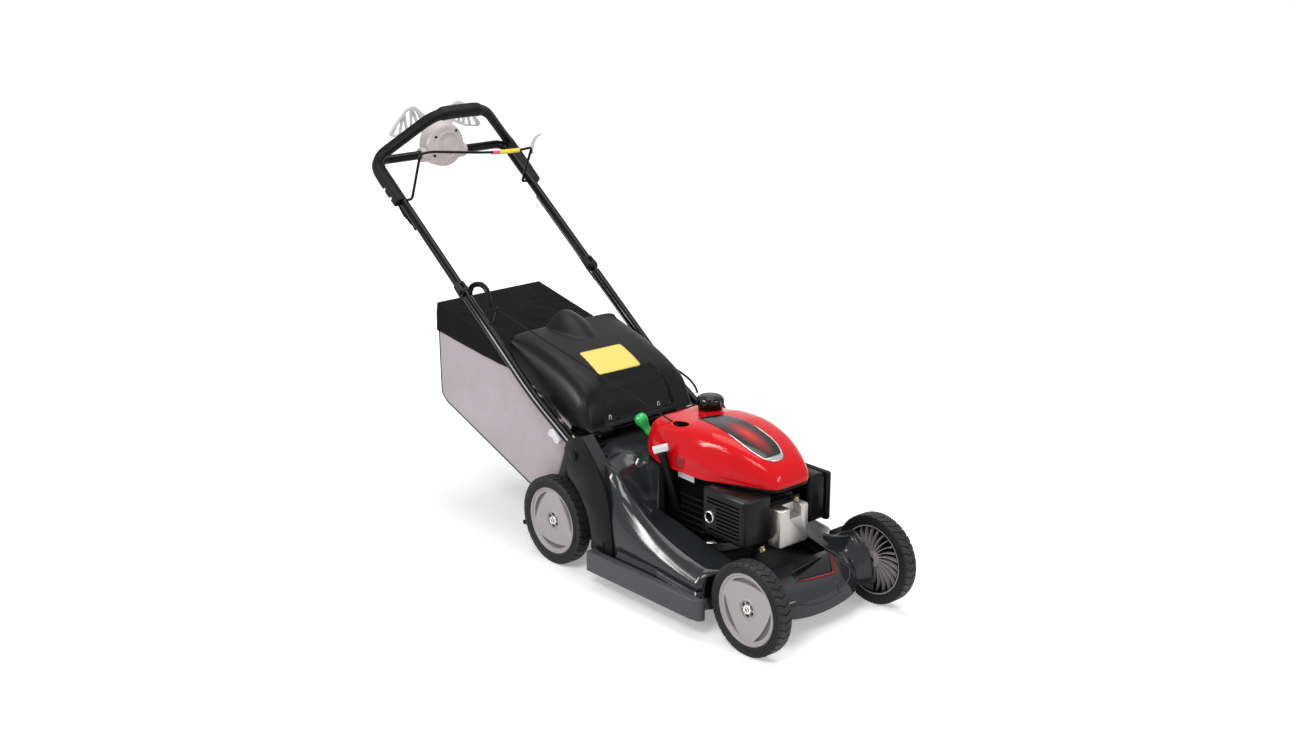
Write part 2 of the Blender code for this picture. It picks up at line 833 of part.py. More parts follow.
def discharge_chute():
    obj = loft("discharge_chute", [chute_ring(t, 0.0) for t in (0.0, 0.5, 1.0)])
    inner = loft("chute_bore", [chute_ring(t, CHUTE_WALL) for t in (-0.06, 0.5, 1.06)])
    return part(cut(obj, inner), "discharge_chute", PLASTIC_DARK)


def trail_flap():
    start, end = Vector(APRON_HINGE), Vector(APRON_TIP)
    ahead = (end - start).normalized()
    side = Vector((-ahead.y, ahead.x)) * APRON_THICKNESS / 2
    outline = [start + side, end + side, end - side, start - side]
    half = APRON_HALF_WIDTH
    obj = plate("trail_flap", [tuple(p) for p in outline], -half, half, "X")
    reach = APRON_ROD_HALF
    join(obj, cylinder("flap_rod", APRON_ROD_R, -reach, reach, "X", APRON_TIP, 12))
    join(obj, cylinder("flap_hinge", 0.006, -half, half, "X", APRON_HINGE, 12))
    return part(obj, "trail_flap", RUBBER, (0, *APRON_HINGE))


def capsule(a, b, radius_a, radius_b, count=5):
    """The outline of a bar with round ends between two points."""
    turn = math.atan2(b[1] - a[1], b[0] - a[0])
    quarter = math.pi / 2
    return arc(b, radius_b, turn - quarter, turn + quarter, count) + arc(
        a, radius_a, turn + quarter, turn + 3 * quarter, count
    )


def height_adjuster(name, pivot, axle, arm_x, shaft_half):
    obj = cylinder(name, PIVOT_SHAFT_R, -shaft_half, shaft_half, "X", pivot, 12)
    for side in (RIGHT, LEFT):
        ends = sorted((side * arm_x, side * (arm_x + ARM_THICKNESS)))
        outline = capsule(pivot, axle, ARM_RADIUS, 0.010)
        join(obj, plate("arm", outline, ends[0], ends[1], "X"))
        ends = sorted((side * (arm_x + 0.001), side * AXLE_END_X))
        join(obj, cylinder("stub_axle", AXLE_R, ends[0], ends[1], "X", axle, 12))
    return part(obj, name, STEEL, (0, *pivot))


def transmission():
    """Gear case on the rear adjuster, with the shaft that drives both rear wheels."""
    axle = (REAR_AXLE_Y, REAR_WHEEL_R)
    low = (-0.052, axle[0] - 0.036, axle[1] - 0.030)
    high = (0.052, axle[0] + 0.030, axle[1] + 0.036)
    obj = box("transmission", low, high, 0.006)
    reach = REAR_ARM_X - GAP
    join(obj, cylinder("drive_shaft", 0.0065, -reach, reach, "X", axle, 12))
    join(obj, cylinder("bearing", 0.018, -BEARING_REACH, BEARING_REACH, "X", axle, 12))
    return part(obj, "transmission", CAST)


def sided(profile, side):
    """The profile for an axis that points out of the mower on this side."""
    if side == LEFT:
        return profile
    return [(r, -h) for r, h in reversed(profile)]


def rim(side, name, axle):
    bore = AXLE_R + GAP
    face = WHEEL_FACE_X
    profile = [
        (RIM_R - 0.0035, face - RIM_LIP),
        (RIM_R, face - RIM_LIP),
        (RIM_R, face - 0.0385),
        (RIM_R - 0.003, face - 0.0385),
        (RIM_R - 0.0045, face - 0.0125),
        (HUB_R, face - 0.0125),
        (HUB_R, face - 0.0395),
        (bore, face - 0.0395),
        (bore, face - 0.0095),
        (HUB_R - 0.004, face - 0.0095),
        (HUB_RING_R, face - 0.0070),
        (HUB_RING_R + 0.003, face - 0.0090),
        (RIM_R - 0.008, face - 0.0085),
    ]
    obj = turned(name, sided(profile, side), "X", (0, *axle), WHEEL_STEPS, closed=True)
    obj = solid(obj)
    start = math.radians(90 if axle[0] < -0.3 else -90)
    for i in range(3):
        cut(obj, rim_crescent(side, axle, start + math.tau * i / 3))
    return part(face_outward(obj), name, PLASTIC_LIGHT, (side * AXLE_END_X, *axle))


def rim_crescent(side, axle, middle):
    """Cutter for one shallow crescent in the face of a rim."""
    span = math.radians(42)
    outline = arc(axle, RIM_R - 0.012, middle - span, middle + span, 5)
    inner = Vector(axle) - Vector((math.cos(middle), math.sin(middle))) * 0.046
    wide = math.atan(math.sin(span) * (RIM_R - 0.012) / (math.cos(span) * (RIM_R - 0.012) + 0.046))
    reach = math.hypot(math.sin(span) * (RIM_R - 0.012), math.cos(span) * (RIM_R - 0.012) + 0.046)
    outline += arc(tuple(inner), reach, middle + wide * 0.93, middle - wide * 0.93, 4)
    ends = sorted((side * (WHEEL_FACE_X - 0.0105), side * (WHEEL_FACE_X + 0.002)))
    return plate("crescent", outline, ends[0], ends[1], "X")


def tyre(side, name, axle, radius):
    """A many-sided tyre that stands on one of its flats."""
    outer = WHEEL_FACE_X
    inner = WHEEL_FACE_X - TYRE_WIDTH
    seat = RIM_R + GAP
    radius = radius / math.cos(math.pi / WHEEL_STEPS)
    profile = [
        (seat, outer - 0.0030),
        (seat + 0.004, outer),
        (radius - 0.0075, outer),
        (radius, outer - 0.0065),
        (radius, inner + 0.0065),
        (radius - 0.0075, inner),
        (seat + 0.004, inner),
        (seat, inner + 0.0035),
    ]
    obj = turned(name, sided(profile, side), "X", (0, *axle), WHEEL_STEPS, closed=True)
    return part(obj, name, TYRE, (side * AXLE_END_X, *axle))


def wheel_bolt(side, name, axle):
    start = AXLE_END_X + GAP
    ends = sorted((side * start, side * (start + 0.002)))
    obj = cylinder(name, WHEEL_BOLT_R, ends[0], ends[1], "X", axle, 12)
    ends = sorted((side * (start + 0.001), side * (start + 0.0068)))
    join(obj, cylinder("bolt_head", 0.0072, ends[0], ends[1], "X", axle, 6))
    return part(obj, name, ZINC)


def sump(name, spare):
    """Tapered lower part of the crankcase; spare makes the space that it needs."""
    low, high = BAY_FLOOR_Z + GAP + 0.008, 0.215 + spare
    return cylinder(name, SUMP_R + spare, low, high, "Z", (0, CRANK_Y), 24, SUMP_TOP_R + spare)


def crankcase():
    base = BAY_FLOOR_Z + GAP
    obj = cylinder("crankcase", FLANGE_R, base, base + FLANGE_THICKNESS, "Z", (0, CRANK_Y), 32)
    low = (-BLOCK_HALF_WIDTH, BLOCK_FRONT_Y, 0.150)
    high = (BLOCK_HALF_WIDTH, BLOCK_REAR_Y, BLOCK_TOP_Z)
    block = box("block", low, high, 0.006)
    low = (-BARREL_HALF_WIDTH, BARREL_FRONT_Y, BARREL_BOTTOM_Z)
    high = (BARREL_HALF_WIDTH, BLOCK_FRONT_Y + 0.01, BARREL_TOP_Z)
    join(obj, sump("sump", 0.0), block, box("barrel", low, high))
    step = (BLOCK_FRONT_Y - BARREL_FRONT_Y) / FIN_COUNT
    for i in range(FIN_COUNT):
        y = BARREL_FRONT_Y + step * i
        reach = BARREL_HALF_WIDTH + FIN_DEPTH
        low = (-reach, y, BARREL_BOTTOM_Z - FIN_DEPTH)
        high = (reach, y + FIN_THICKNESS, BARREL_TOP_Z + FIN_DEPTH)
        join(obj, box("fin", low, high))
    bore = cylinder("crank_bore", CRANK_R + 2 * GAP, 0.09, 0.34, "Z", (0, CRANK_Y), 20)
    return part(cut(obj, bore), "crankcase", CAST)


def head_cover():
    wide, deep, high = HEAD_COVER_SIZE
    rear = BARREL_FRONT_Y - GAP
    low = (HEAD_COVER_X - wide / 2, rear - deep, 0.190)
    top = (HEAD_COVER_X + wide / 2, rear, 0.190 + high)
    obj = box("head_cover", low, top, 0.007, 2)
    near = (HEAD_COVER_X - 0.016, rear - deep - 0.01, 0.262)
    notch = box("notch", near, (HEAD_COVER_X + 0.022, rear - 0.018, 0.30))
    return part(cut(obj, notch), "head_cover", ALUMINIUM)


def boxes(name, corners):
    """Several plain boxes as one mesh, for one cut."""
    points, faces = [], []
    for low, high in corners:
        base = len(points)
        points += [(x, y, z) for x in (low[0], high[0]) for y in (low[1], high[1]) for z in (low[2], high[2])]
        for face in ((0, 1, 3, 2), (4, 6, 7, 5), (0, 4, 5, 1), (2, 3, 7, 6), (0, 2, 6, 4), (1, 5, 7, 3)):
            faces.append(tuple(base + i for i in face))
    return face_outward(new_mesh(name, points, faces))


def muffler_guard():
    low = (GUARD_OUTER_X, GUARD_FRONT_Y, GUARD_BOTTOM_Z)
    high = (GUARD_INNER_X + 0.012, GUARD_REAR_Y, GUARD_TOP_Z)
    obj = box("muffler_guard", low, high, 0.010, 2)
    spare = 0.040
    near = (GUARD_INNER_X, GUARD_FRONT_Y - spare, GUARD_BOTTOM_Z - spare)
    trim = box("guard_trim", near, (GUARD_INNER_X + 0.03, GUARD_REAR_Y + spare, GUARD_TOP_Z + spare))
    wall = GUARD_WALL
    hollow = box(
        "guard_hollow",
        (low[0] + wall, low[1] + wall, low[2] + wall),
        (high[0] + 0.01, high[1] - wall, high[2] - wall),
        0.007,
        2,
    )
    slots = []
    for i in range(LOUVRES):
        z = GUARD_BOTTOM_Z + 0.018 + LOUVRE_PITCH * i
        rear = OUTLET_Y + 0.012 if abs(z - OUTLET_Z) > 0.026 else OUTLET_Y - 0.020
        slots.append(((low[0] - 0.01, GUARD_FRONT_Y + 0.020, z), (low[0] + 0.01, rear, z + LOUVRE_HEIGHT)))
    ends = (low[0] - 0.02, low[0] + 0.02)
    outlet = cylinder("outlet_hole", OUTLET_R, ends[0], ends[1], "X", (OUTLET_Y, OUTLET_Z), 20)
    cut(obj, trim, hollow, boxes("louvres", slots), outlet)
    return part(obj, "muffler_guard", BLACK_METAL)


def air_cleaner_case():
    low = (CLEANER_INNER_X, CLEANER_FRONT_Y, CLEANER_BOTTOM_Z)
    high = (CLEANER_OUTER_X - 0.018, CLEANER_REAR_Y, CLEANER_TOP_Z)
    return part(box("air_cleaner_case", low, high, 0.008), "air_cleaner_case", PLASTIC_BLACK)


def air_cleaner_cover():
    low = (CLEANER_OUTER_X - 0.018 + GAP, CLEANER_FRONT_Y - 0.004, CLEANER_BOTTOM_Z - 0.006)
    high = (CLEANER_OUTER_X, CLEANER_REAR_Y + 0.004, CLEANER_TOP_Z)
    return part(box("air_cleaner_cover", low, high, 0.007, 2), "air_cleaner_cover", PLASTIC_BLACK)


def carburettor():
    start = BARREL_HALF_WIDTH + FIN_DEPTH + GAP
    end = CLEANER_INNER_X - GAP
    obj = cylinder("carburettor", 0.016, start, end, "X", (-0.525, 0.262), 16)
    join(obj, cylinder("float_bowl", 0.014, 0.214, 0.262, "Z", ((start + end) / 2, -0.525), 16))
    return part(obj, "carburettor", ALUMINIUM)


COVER_SIDE = (
    (-0.626, 0.048), (-0.616, 0.062), (-0.596, 0.074), (-0.567, 0.087), (-0.530, 0.100),
    (-0.490, 0.111), (-0.444, 0.120), (-0.400, 0.1245), (COVER_WIDE_Y, COVER_HALF_WIDTH),
    (-0.300, 0.1235), (-0.262, 0.117), (-0.232, 0.109), (-0.214, 0.100), (COVER_REAR_Y, 0.084),
)
"""Half width of the engine cover at its foot, from the nose to the rear."""
COVER_TOP = (
    (-0.640, 0.378), (-0.580, 0.398), (-0.500, 0.415), (-0.400, 0.428), (-0.300, 0.431),
    (-0.240, 0.424), (-0.200, 0.408),
)
COVER_LEVELS = (
    (1.0, 0.0), (1.004, 0.27), (0.975, 0.55), (0.89, 0.79), (0.70, 0.94), (0.40, 0.99), (0.15, 1.0),
)
"""How far each ring of the cover draws in to its spine, and how high it stands."""


def cover_outline(inset=0.0):
    side = [(w - inset, y + inset * (0.416 + y) / -0.21) for y, w in COVER_SIDE]
    nose = [(0.022, COVER_NOSE_Y - 0.002 + inset)]
    rear = [(0.040, COVER_REAR_Y + 0.003 - inset)]
    half = nose + side + rear
    ring = half + [(-x, y) for x, y in reversed(half)]
    return [(x + COVER_SHIFT_X, y) for x, y in ring]


def domed(name, outline, levels, spine, top, bottom, wall):
    """A thin cap that rises from an outline to a spine along Y."""
    points, faces = [], []
    count = len(outline)
    for pull, lift in levels:
        for x, y in outline:
            spine_y = min(max(y, spine[1]), spine[2])
            px = spine[0] + (x - spine[0]) * pull
            py = spine_y + (y - spine_y) * pull
            points.append((px, py, bottom + (line_at(top, py) - bottom) * lift))
    for i in range(len(levels) - 1):
        for j in range(count):
            a, b = i * count + j, i * count + (j + 1) % count
            faces.append((a, b, b + count, a + count))
    last = (len(levels) - 1) * count
    for j in range(count // 2 - 1):
        faces.append((last + j, last + j + 1, last + count - 2 - j, last + count - 1 - j))
    obj = new_mesh(name, points, faces)
    return thicken(obj, wall)


def engine_cover():
    spine = (COVER_SHIFT_X, -0.520, -0.270)
    obj = domed("engine_cover", cover_outline(), COVER_LEVELS, spine, COVER_TOP, COVER_BOTTOM_Z, COVER_WALL)
    ends = (COVER_BOTTOM_Z + 0.022, CAP_TOP_Z)
    neck = cylinder("neck_hole", NECK_R + 0.001, ends[0], ends[1], "Z", (FILLER_X, FILLER_Y), 20)
    wide, deep = ROPE_SLOT_HALF
    x, y = ROPE_SLOT
    low = COVER_BOTTOM_Z + 0.054
    slot = box("rope_slot", (x - wide, y - deep, low), (x + wide, y + deep, CAP_TOP_Z), 0.004)
    return part(cut(obj, neck, slot), "engine_cover", RED)


def fan_housing():
    top = COVER_BOTTOM_Z - GAP
    ring = circle((0, CRANK_Y), FLYWHEEL_R + 0.003, 22)
    obj = plate("fan_housing", cover_outline(0.001), top - 0.009, top, "Z", [ring])
    outer = circle((0, CRANK_Y), FLYWHEEL_R + 0.0085, 22)
    wall = plate("fan_wall", outer, BLOCK_TOP_Z + GAP, top - 0.004, "Z", [ring])
    return part(join(obj, wall), "fan_housing", PLASTIC_BLACK)


def fuel_tank():
    low = (-0.080, -0.445, COVER_BOTTOM_Z)
    high = (0.086, -0.250, 0.392)
    obj = box("fuel_tank", low, high, 0.012, 2)
    neck = cylinder("neck", NECK_R, 0.385, CAP_BOTTOM_Z - GAP, "Z", (FILLER_X, FILLER_Y), 20)
    return part(join(obj, neck), "fuel_tank", PLASTIC_BLACK)


def fuel_cap():
    outline = []
    count = CAP_KNURLS * 4
    for i in range(count):
        radius = CAP_R if i % 4 in (0, 1) else CAP_R - 0.0028
        turn = math.tau * i / count
        outline.append((FILLER_X + radius * math.cos(turn), FILLER_Y + radius * math.sin(turn)))
    obj = plate("fuel_cap", outline, CAP_BOTTOM_Z + 0.010, CAP_TOP_Z - 0.006, "Z")
    place, low, high = (FILLER_X, FILLER_Y), CAP_BOTTOM_Z, CAP_TOP_Z
    join(obj, cylinder("cap_foot", CAP_R - 0.003, low, low + 0.014, "Z", place, 16))
    join(obj, cylinder("cap_top", CAP_R - 0.005, high - 0.010, high, "Z", place, 16, CAP_R - 0.010))
    return part(obj, "fuel_cap", PLASTIC_BLACK, (FILLER_X, FILLER_Y, CAP_BOTTOM_Z))


def oil_filler_tube():
    obj = solid(tube("oil_filler_tube", [OIL_TUBE_FOOT, OIL_TUBE_TOP], OIL_TUBE_R))
    cut(obj, sump("sump_space", GAP))
    return part(obj, "oil_filler_tube", PLASTIC_BLACK)


def dipstick():
    foot, top = Vector(OIL_TUBE_FOOT), Vector(OIL_TUBE_TOP)
    ahead = (top - foot).normalized()
    seat = top + ahead * GAP
    obj = solid(tube("dipstick", [seat, seat + ahead * 0.014], 0.0122))
    grip = box("dip_grip", (-0.017, -0.009, 0.0), (0.017, 0.009, 0.022), 0.003)
    turn = Vector((0, 0, 1)).rotation_difference(ahead).to_matrix().to_4x4()
    centre = Matrix.Translation(Vector((0, 0, 0.011)))
    grip.matrix_world = Matrix.Translation(seat + ahead * 0.008) @ turn @ centre
    return part(join(obj, grip), "dipstick", PLASTIC_WHITE, tuple(top))


def crankshaft():
    """Shaft with the blade holder and the bolt head under the blades, in one turned piece."""
    low, high = BLADE_Z, BLADE_Z + BLADE_SPACING
    half = BLADE_THICKNESS / 2 + GAP
    post = 0.010
    profile = [
        (0.0, FLYWHEEL_TOP_Z + 0.006),
        (0.009, FLYWHEEL_TOP_Z + 0.006),
        (0.009, FLYWHEEL_BOTTOM_Z - GAP),
        (CRANK_R, FLYWHEEL_BOTTOM_Z - GAP),
        (CRANK_R, high + half + 0.014),
        (0.032, high + half + 0.014),
        (0.032, high + half),
        (post, high + half),
        (post, high - half),
        (0.022, high - half),
        (0.022, low + half),
        (post, low + half),
        (post, low - half),
        (0.016, low - half),
        (0.016, low - half - 0.006),
        (0.0, low - half - 0.006),
    ]
    obj = turned("crankshaft", profile, "Z", (0, CRANK_Y, 0), 12)
    return part(obj, "crankshaft", STEEL, (0, CRANK_Y, 0.20))


def flywheel():
    profile = [
        (0.0093, FLYWHEEL_TOP_Z),
        (0.030, FLYWHEEL_TOP_Z),
        (0.030, FLYWHEEL_BOTTOM_Z + 0.012),
        (FLYWHEEL_R - 0.010, FLYWHEEL_BOTTOM_Z + 0.012),
        (FLYWHEEL_R - 0.010, FLYWHEEL_TOP_Z - 0.004),
        (FLYWHEEL_R, FLYWHEEL_TOP_Z - 0.004),
        (FLYWHEEL_R, FLYWHEEL_BOTTOM_Z),
        (0.0093, FLYWHEEL_BOTTOM_Z),
    ]
    obj = turned("flywheel", profile, "Z", (0, CRANK_Y, 0), 20, closed=True)
    return part(obj, "flywheel", CAST, (0, CRANK_Y, 0.20))


def blade(name, height, turn, lift):
    """A flat bar with its cutting ends swept back and, where lift is given, a raised tail."""
    reach, half = BLADE_R, BLADE_WIDTH / 2
    outline = [(-reach, -half + 0.012), (-reach + 0.014, -half), (reach - 0.020, -half)]
    outline += [(reach - 0.004, -half + 0.014), (reach, half - 0.012), (reach - 0.014, half)]
    outline += [(-reach + 0.020, half), (-reach + 0.004, half - 0.014)]
    spin = Matrix.Rotation(turn, 2)
    centre = Vector((0, CRANK_Y))
    outline = [tuple(spin @ Vector(p) + centre) for p in outline]
    hole = circle((0, CRANK_Y), 0.0103, 16)
    low = height - BLADE_THICKNESS / 2
    obj = plate(name, outline, low, low + BLADE_THICKNESS, "Z", [hole])
    for side in (-1, 1) if lift else ():
        edge = side * (half - 0.003)
        wing = [Vector((side * (reach - 0.062), edge)), Vector((side * (reach - 0.016), edge))]
        wing += [wing[1] + Vector((0, side * 0.003)), wing[0] + Vector((0, side * 0.003))]
        wing = [tuple(spin @ p + centre) for p in wing]
        join(obj, plate("wing", wing, low + 0.0005, low + BLADE_THICKNESS + lift, "Z"))
    return part(obj, name, BLADE_STEEL, (0, CRANK_Y, 0.20))


def knee_path(side):
    """Middle line of a lower handle tube, from its foot to where the fold joint starts."""
    x = side * TUBE_X
    ahead = Vector((0, math.cos(SLOPE), math.sin(SLOPE)))
    end = Vector((x, *COLLAR)) - ahead * FOLD_REACH
    corners = [(x, *HANDLE_FOOT), (x, KNEE_Y, tube_z(KNEE_Y)), end]
    return rounded_path(corners, 0.050, 3)


def lower_handle(side, name):
    x = side * TUBE_X
    path = knee_path(side)
    obj = solid(tube(name, path, TUBE_R))
    ahead = Vector((math.cos(SLOPE), math.sin(SLOPE)))
    back = tuple(Vector(COLLAR) - ahead * (FOLD_REACH + FOLD_LAP))
    half = FOLD_TONGUE / 2
    outline = capsule(back, COLLAR, 0.010, FOLD_KNUCKLE_R)
    join(obj, plate("tongue", outline, x - half, x + half, "X"))
    reach = TUBE_R + 0.0035
    join(obj, cylinder("fold_pin", FOLD_PIN_R, x - reach, x + reach, "X", COLLAR, 12))
    if side == RIGHT:
        add_rope_eye(obj)
    return part(obj, name, TUBE_BLACK)


def rope_point(y):
    """The pulled-in starter rope's place at y, on its straight run to the engine."""
    start = Vector((-GUIDE_X, *GUIDE_POINT))
    end = Vector(ROPE_END)
    return start + (end - start) * (y - start.y) / (end.y - start.y)


def add_rope_eye(obj):
    """An eye on the tube that the starter rope runs through."""
    y = EYE_Y
    eye = rope_point(y)
    outline = circle((eye.x, eye.z), 0.0080, 16)
    ring = plate("rope_eye", outline, y - 0.004, y + 0.004, "Y", [circle((eye.x, eye.z), 0.0045, 12)])
    stem = [(-TUBE_X - 0.004, tube_z(y)), (-TUBE_X + 0.010, tube_z(y)), (eye.x, eye.z - 0.0060)]
    stem += [(eye.x - 0.0062, eye.z - 0.002)]
    join(obj, ring, plate("eye_stem", stem, y - 0.0035, y + 0.0035, "Y"))


def upper_handle():
    """Both upper tubes and the cross tube between them, with the fold joint's cheeks."""
    ahead = Vector((0, math.cos(SLOPE), math.sin(SLOPE)))
    starts = [Vector((s * TUBE_X, *COLLAR)) + ahead * FOLD_REACH for s in (RIGHT, LEFT)]
    corners = [(s * TUBE_X, CROSS_Y, tube_z(CROSS_Y)) for s in (RIGHT, LEFT)]
    path = rounded_path([starts[0], *corners, starts[1]], CORNER_BEND, 3)
    obj = solid(tube("upper_handle", path, TUBE_R))
    flat = Vector((math.cos(SLOPE), math.sin(SLOPE)))
    tip = tuple(Vector(COLLAR) + flat * (FOLD_REACH + FOLD_LAP))
    outline = capsule(tip, COLLAR, 0.010, FOLD_KNUCKLE_R)
    gap = FOLD_TONGUE / 2 + GAP
    for side in (RIGHT, LEFT):
        x = side * TUBE_X
        join(obj, plate("cheek_a", outline, x + gap, x + TUBE_R, "X"))
        join(obj, plate("cheek_b", outline, x - TUBE_R, x - gap, "X"))
        hole = cylinder("pin_hole", FOLD_PIN_R + GAP, x - 0.02, x + 0.02, "X", COLLAR, 12)
        cut(obj, hole)
    join(obj, bail_bracket())
    return part(obj, "upper_handle", TUBE_BLACK, (0, *COLLAR))


def bail_bracket():
    """Three-cornered bracket on the right tube that the bail turns in."""
    outline = [(0.604, tube_z(0.604) - 0.004), (0.596, tube_z(0.596) - 0.026), (0.618, 0.806)]
    outline += [(0.668, 0.842), (0.692, tube_z(0.692) - 0.006)]
    x = -TUBE_X
    return plate("bail_bracket", outline, x - 0.006, x + 0.006, "X")


def handle_cutter():
    corners = [(s * TUBE_X, CROSS_Y, tube_z(CROSS_Y)) for s in (RIGHT, LEFT)]
    ahead = Vector((0, math.cos(SLOPE), math.sin(SLOPE)))
    starts = [Vector(c) - ahead * 0.30 for c in corners]
    path = rounded_path([starts[0], *corners, starts[1]], CORNER_BEND, 3)
    return solid(tube("tube_space", path, TUBE_R + GAP))


def loop_cover():
    """Moulded loop over the tube ends: two legs along the tubes and a bar across the top."""
    slope = Vector((0, math.cos(SLOPE), math.sin(SLOPE)))
    corner, top = Vector(LOOP_CORNER), Vector(LOOP_TOP)
    flip = Vector((-1, 1, 1))
    path = rounded_path([corner * flip, top * flip, top, corner], 0.045, 3)
    outline = section(LOOP_DEPTH, LOOP_WIDTH, 0.008, 1)
    turned_outline = [(b, a) for a, b in outline]
    obj = sweep("loop_cover", path, turned_outline[::-1], slope)
    leg = section(0.026, 0.034, 0.007, 1)
    for side in (RIGHT, LEFT):
        x = side * (TUBE_X + TUBE_R + GAP + 0.004)
        end = Vector((x, CROSS_Y + 0.004, tube_z(CROSS_Y + 0.004)))
        foot = Vector((x, LOOP_LEG_FOOT_Y + 0.040, tube_z(LOOP_LEG_FOOT_Y + 0.040)))
        join(obj, sweep("leg", [foot, (foot + end) / 2, end], leg, (1, 0, 0)))
    for side in (RIGHT, LEFT):
        ends = sorted((side * (TUBE_X + 0.005), side * (TUBE_X + 0.039)))
        join(obj, cylinder("cover_corner", 0.020, ends[0], ends[1], "X", (0.788, 0.958), 16))
    pad = [(top.x - 0.022) * flip.x, (top.x - 0.022)]
    middle = Vector((0, top.y, top.z))
    line = [middle + Vector((x, 0, 0)) for x in (pad[0], 0.0, pad[1])]
    grip = section(LOOP_DEPTH + 0.006, LOOP_WIDTH + 0.006, 0.010)
    join(obj, sweep("grip_pad", line, [(b, a) for a, b in grip][::-1], slope))
    return part(cut(obj, handle_cutter()), "loop_cover", PLASTIC_BLACK)


def drive_housing():
    """Round housing on the cross tube, with a recessed face."""
    depth = HOUSING_REAR_Y - HOUSING_FRONT_Y
    profile = [
        (0.0, -HOUSING_FRONT_Y - 0.004),
        (0.032, -HOUSING_FRONT_Y - 0.004),
        (0.036, -HOUSING_FRONT_Y),
        (0.050, -HOUSING_FRONT_Y - 0.002),
        (0.059, -HOUSING_FRONT_Y - 0.009),
        (HOUSING_R, -HOUSING_FRONT_Y - 0.020),
        (HOUSING_R, -HOUSING_FRONT_Y - depth + 0.004),
        (HOUSING_R - 0.004, -HOUSING_REAR_Y),
        (0.0, -HOUSING_REAR_Y),
    ]
    obj = solid(turned("drive_housing", profile, "Y", (0, 0, HOUSING_Z), 20))
    for side in (RIGHT, LEFT):
        ends = sorted((side * 0.050, side * 0.0775))
        join(obj, cylinder("clamp", 0.020, ends[0], ends[1], "X", (CROSS_Y, tube_z(CROSS_Y)), 20))
    return part(cut(face_outward(obj), handle_cutter()), "drive_housing", PLASTIC_LIGHT)


def paddle(side, name):
    """Thumb paddle with an open, ribbed web, hinged behind the drive housing."""
    outer = [(0.020, 1.012), (0.044, 1.010), (0.062, 1.040), (0.120, 1.016), (0.155, 1.014)]
    outer += [(0.158, 1.026), (0.128, 1.058), (0.094, 1.092), (0.070, 1.094), (0.034, 1.060)]
    holes = [
        [(0.053, 1.050), (0.062, 1.052), (0.072, 1.080), (0.062, 1.070)],
        [(0.072, 1.050), (0.090, 1.043), (0.096, 1.075), (0.083, 1.082)],
        [(0.098, 1.038), (0.122, 1.028), (0.124, 1.048), (0.105, 1.067)],
    ]
    outline = [(side * x, z) for x, z in outer]
    cuts = [[(side * x, z) for x, z in hole] for hole in holes]
    near = HOUSING_REAR_Y + GAP
    obj = plate(name, outline, near, near + PADDLE_THICKNESS, "Y", cuts)
    return part(obj, name, PLASTIC_LIGHT, (0, near + PADDLE_THICKNESS / 2, PADDLE_PIVOT_Z))


def bail():
    reach = TUBE_X - TUBE_R - GAP
    pivot = (BAIL_PIVOT_Y, tube_z(BAIL_PIVOT_Y))
    bow = BAIL_TOP[1] + 0.003
    corners = [
        (-reach, *pivot),
        (-BAIL_X, *pivot),
        (-BAIL_X, *BAIL_TOP),
        (0.0, BAIL_TOP[0], bow),
        (BAIL_X, *BAIL_TOP),
        (BAIL_X, *pivot),
        (reach, *pivot),
    ]
    path = rounded_path(corners, 0.010, 2)
    return part(tube("bail", path, BAIL_R), "bail", ROD_BLACK, (0, *pivot))


def bail_lever():
    """Pale release lever that turns on the bail, at the left."""
    foot = Vector((BAIL_X, BAIL_TOP[0], BAIL_TOP[1] - 0.020))
    y, z = foot.y, foot.z
    outline = [(y + 0.010, z - 0.016), (y + 0.012, z + 0.010), (y - 0.008, z + 0.036)]
    outline += [(y - 0.034, z + 0.052), (y - 0.038, z + 0.046), (y - 0.018, z + 0.020)]
    outline.append((y - 0.010, z - 0.014))
    start = BAIL_X + BAIL_R + GAP
    obj = plate("bail_lever", outline, start, start + 0.006, "X")
    return part(obj, "bail_lever", PLASTIC_WHITE, (start, y, z))


def hood_row(y):
    """One crosswise line of the hood, from one hem over the top to the other."""
    top = line_at(HOOD_TOP, y)
    hem = line_at(HOOD_HEM, y)
    hump = blend(((0.040, 0.0), (0.190, HOOD_HUMP)), y)
    drop = top - hem
    wide = HOOD_HALF_WIDTH * line_at(((-0.093, 0.945), (-0.040, 1.0)), y)
    half = [
        (0.0, top + hump),
        (0.030, top + hump * 0.85),
        (0.058, top + hump * 0.12),
        (0.110, top),
        (0.148, top - drop * 0.05),
        (0.170, top - drop * 0.20),
        (wide - 0.005, top - drop * 0.50),
        (wide, hem),
    ]
    return [(x, y, z) for x, z in across(half)]


HOOD_STATIONS = (
    -0.093, -0.084, -0.079, -0.066, -0.050, -0.015, 0.040, 0.095, 0.145, 0.190, HOOD_REAR_Y,
)
HOOD_TOP = (
    (-0.093, 0.3745), (-0.084, 0.3765), (-0.079, 0.3970), (-0.066, 0.4360), (-0.050, 0.463),
    (-0.015, 0.490), (0.030, 0.512), (0.075, 0.528), (0.120, 0.541), (0.195, 0.557),
    (HOOD_REAR_Y, HOOD_REAR_Z),
)
HOOD_HEM = (
    (-0.093, 0.3715), (-0.084, 0.3735), (-0.079, 0.3765), (0.030, 0.421), (0.109, 0.456),
    (0.201, 0.524), (0.220, 0.542), (HOOD_REAR_Y, 0.550),
)


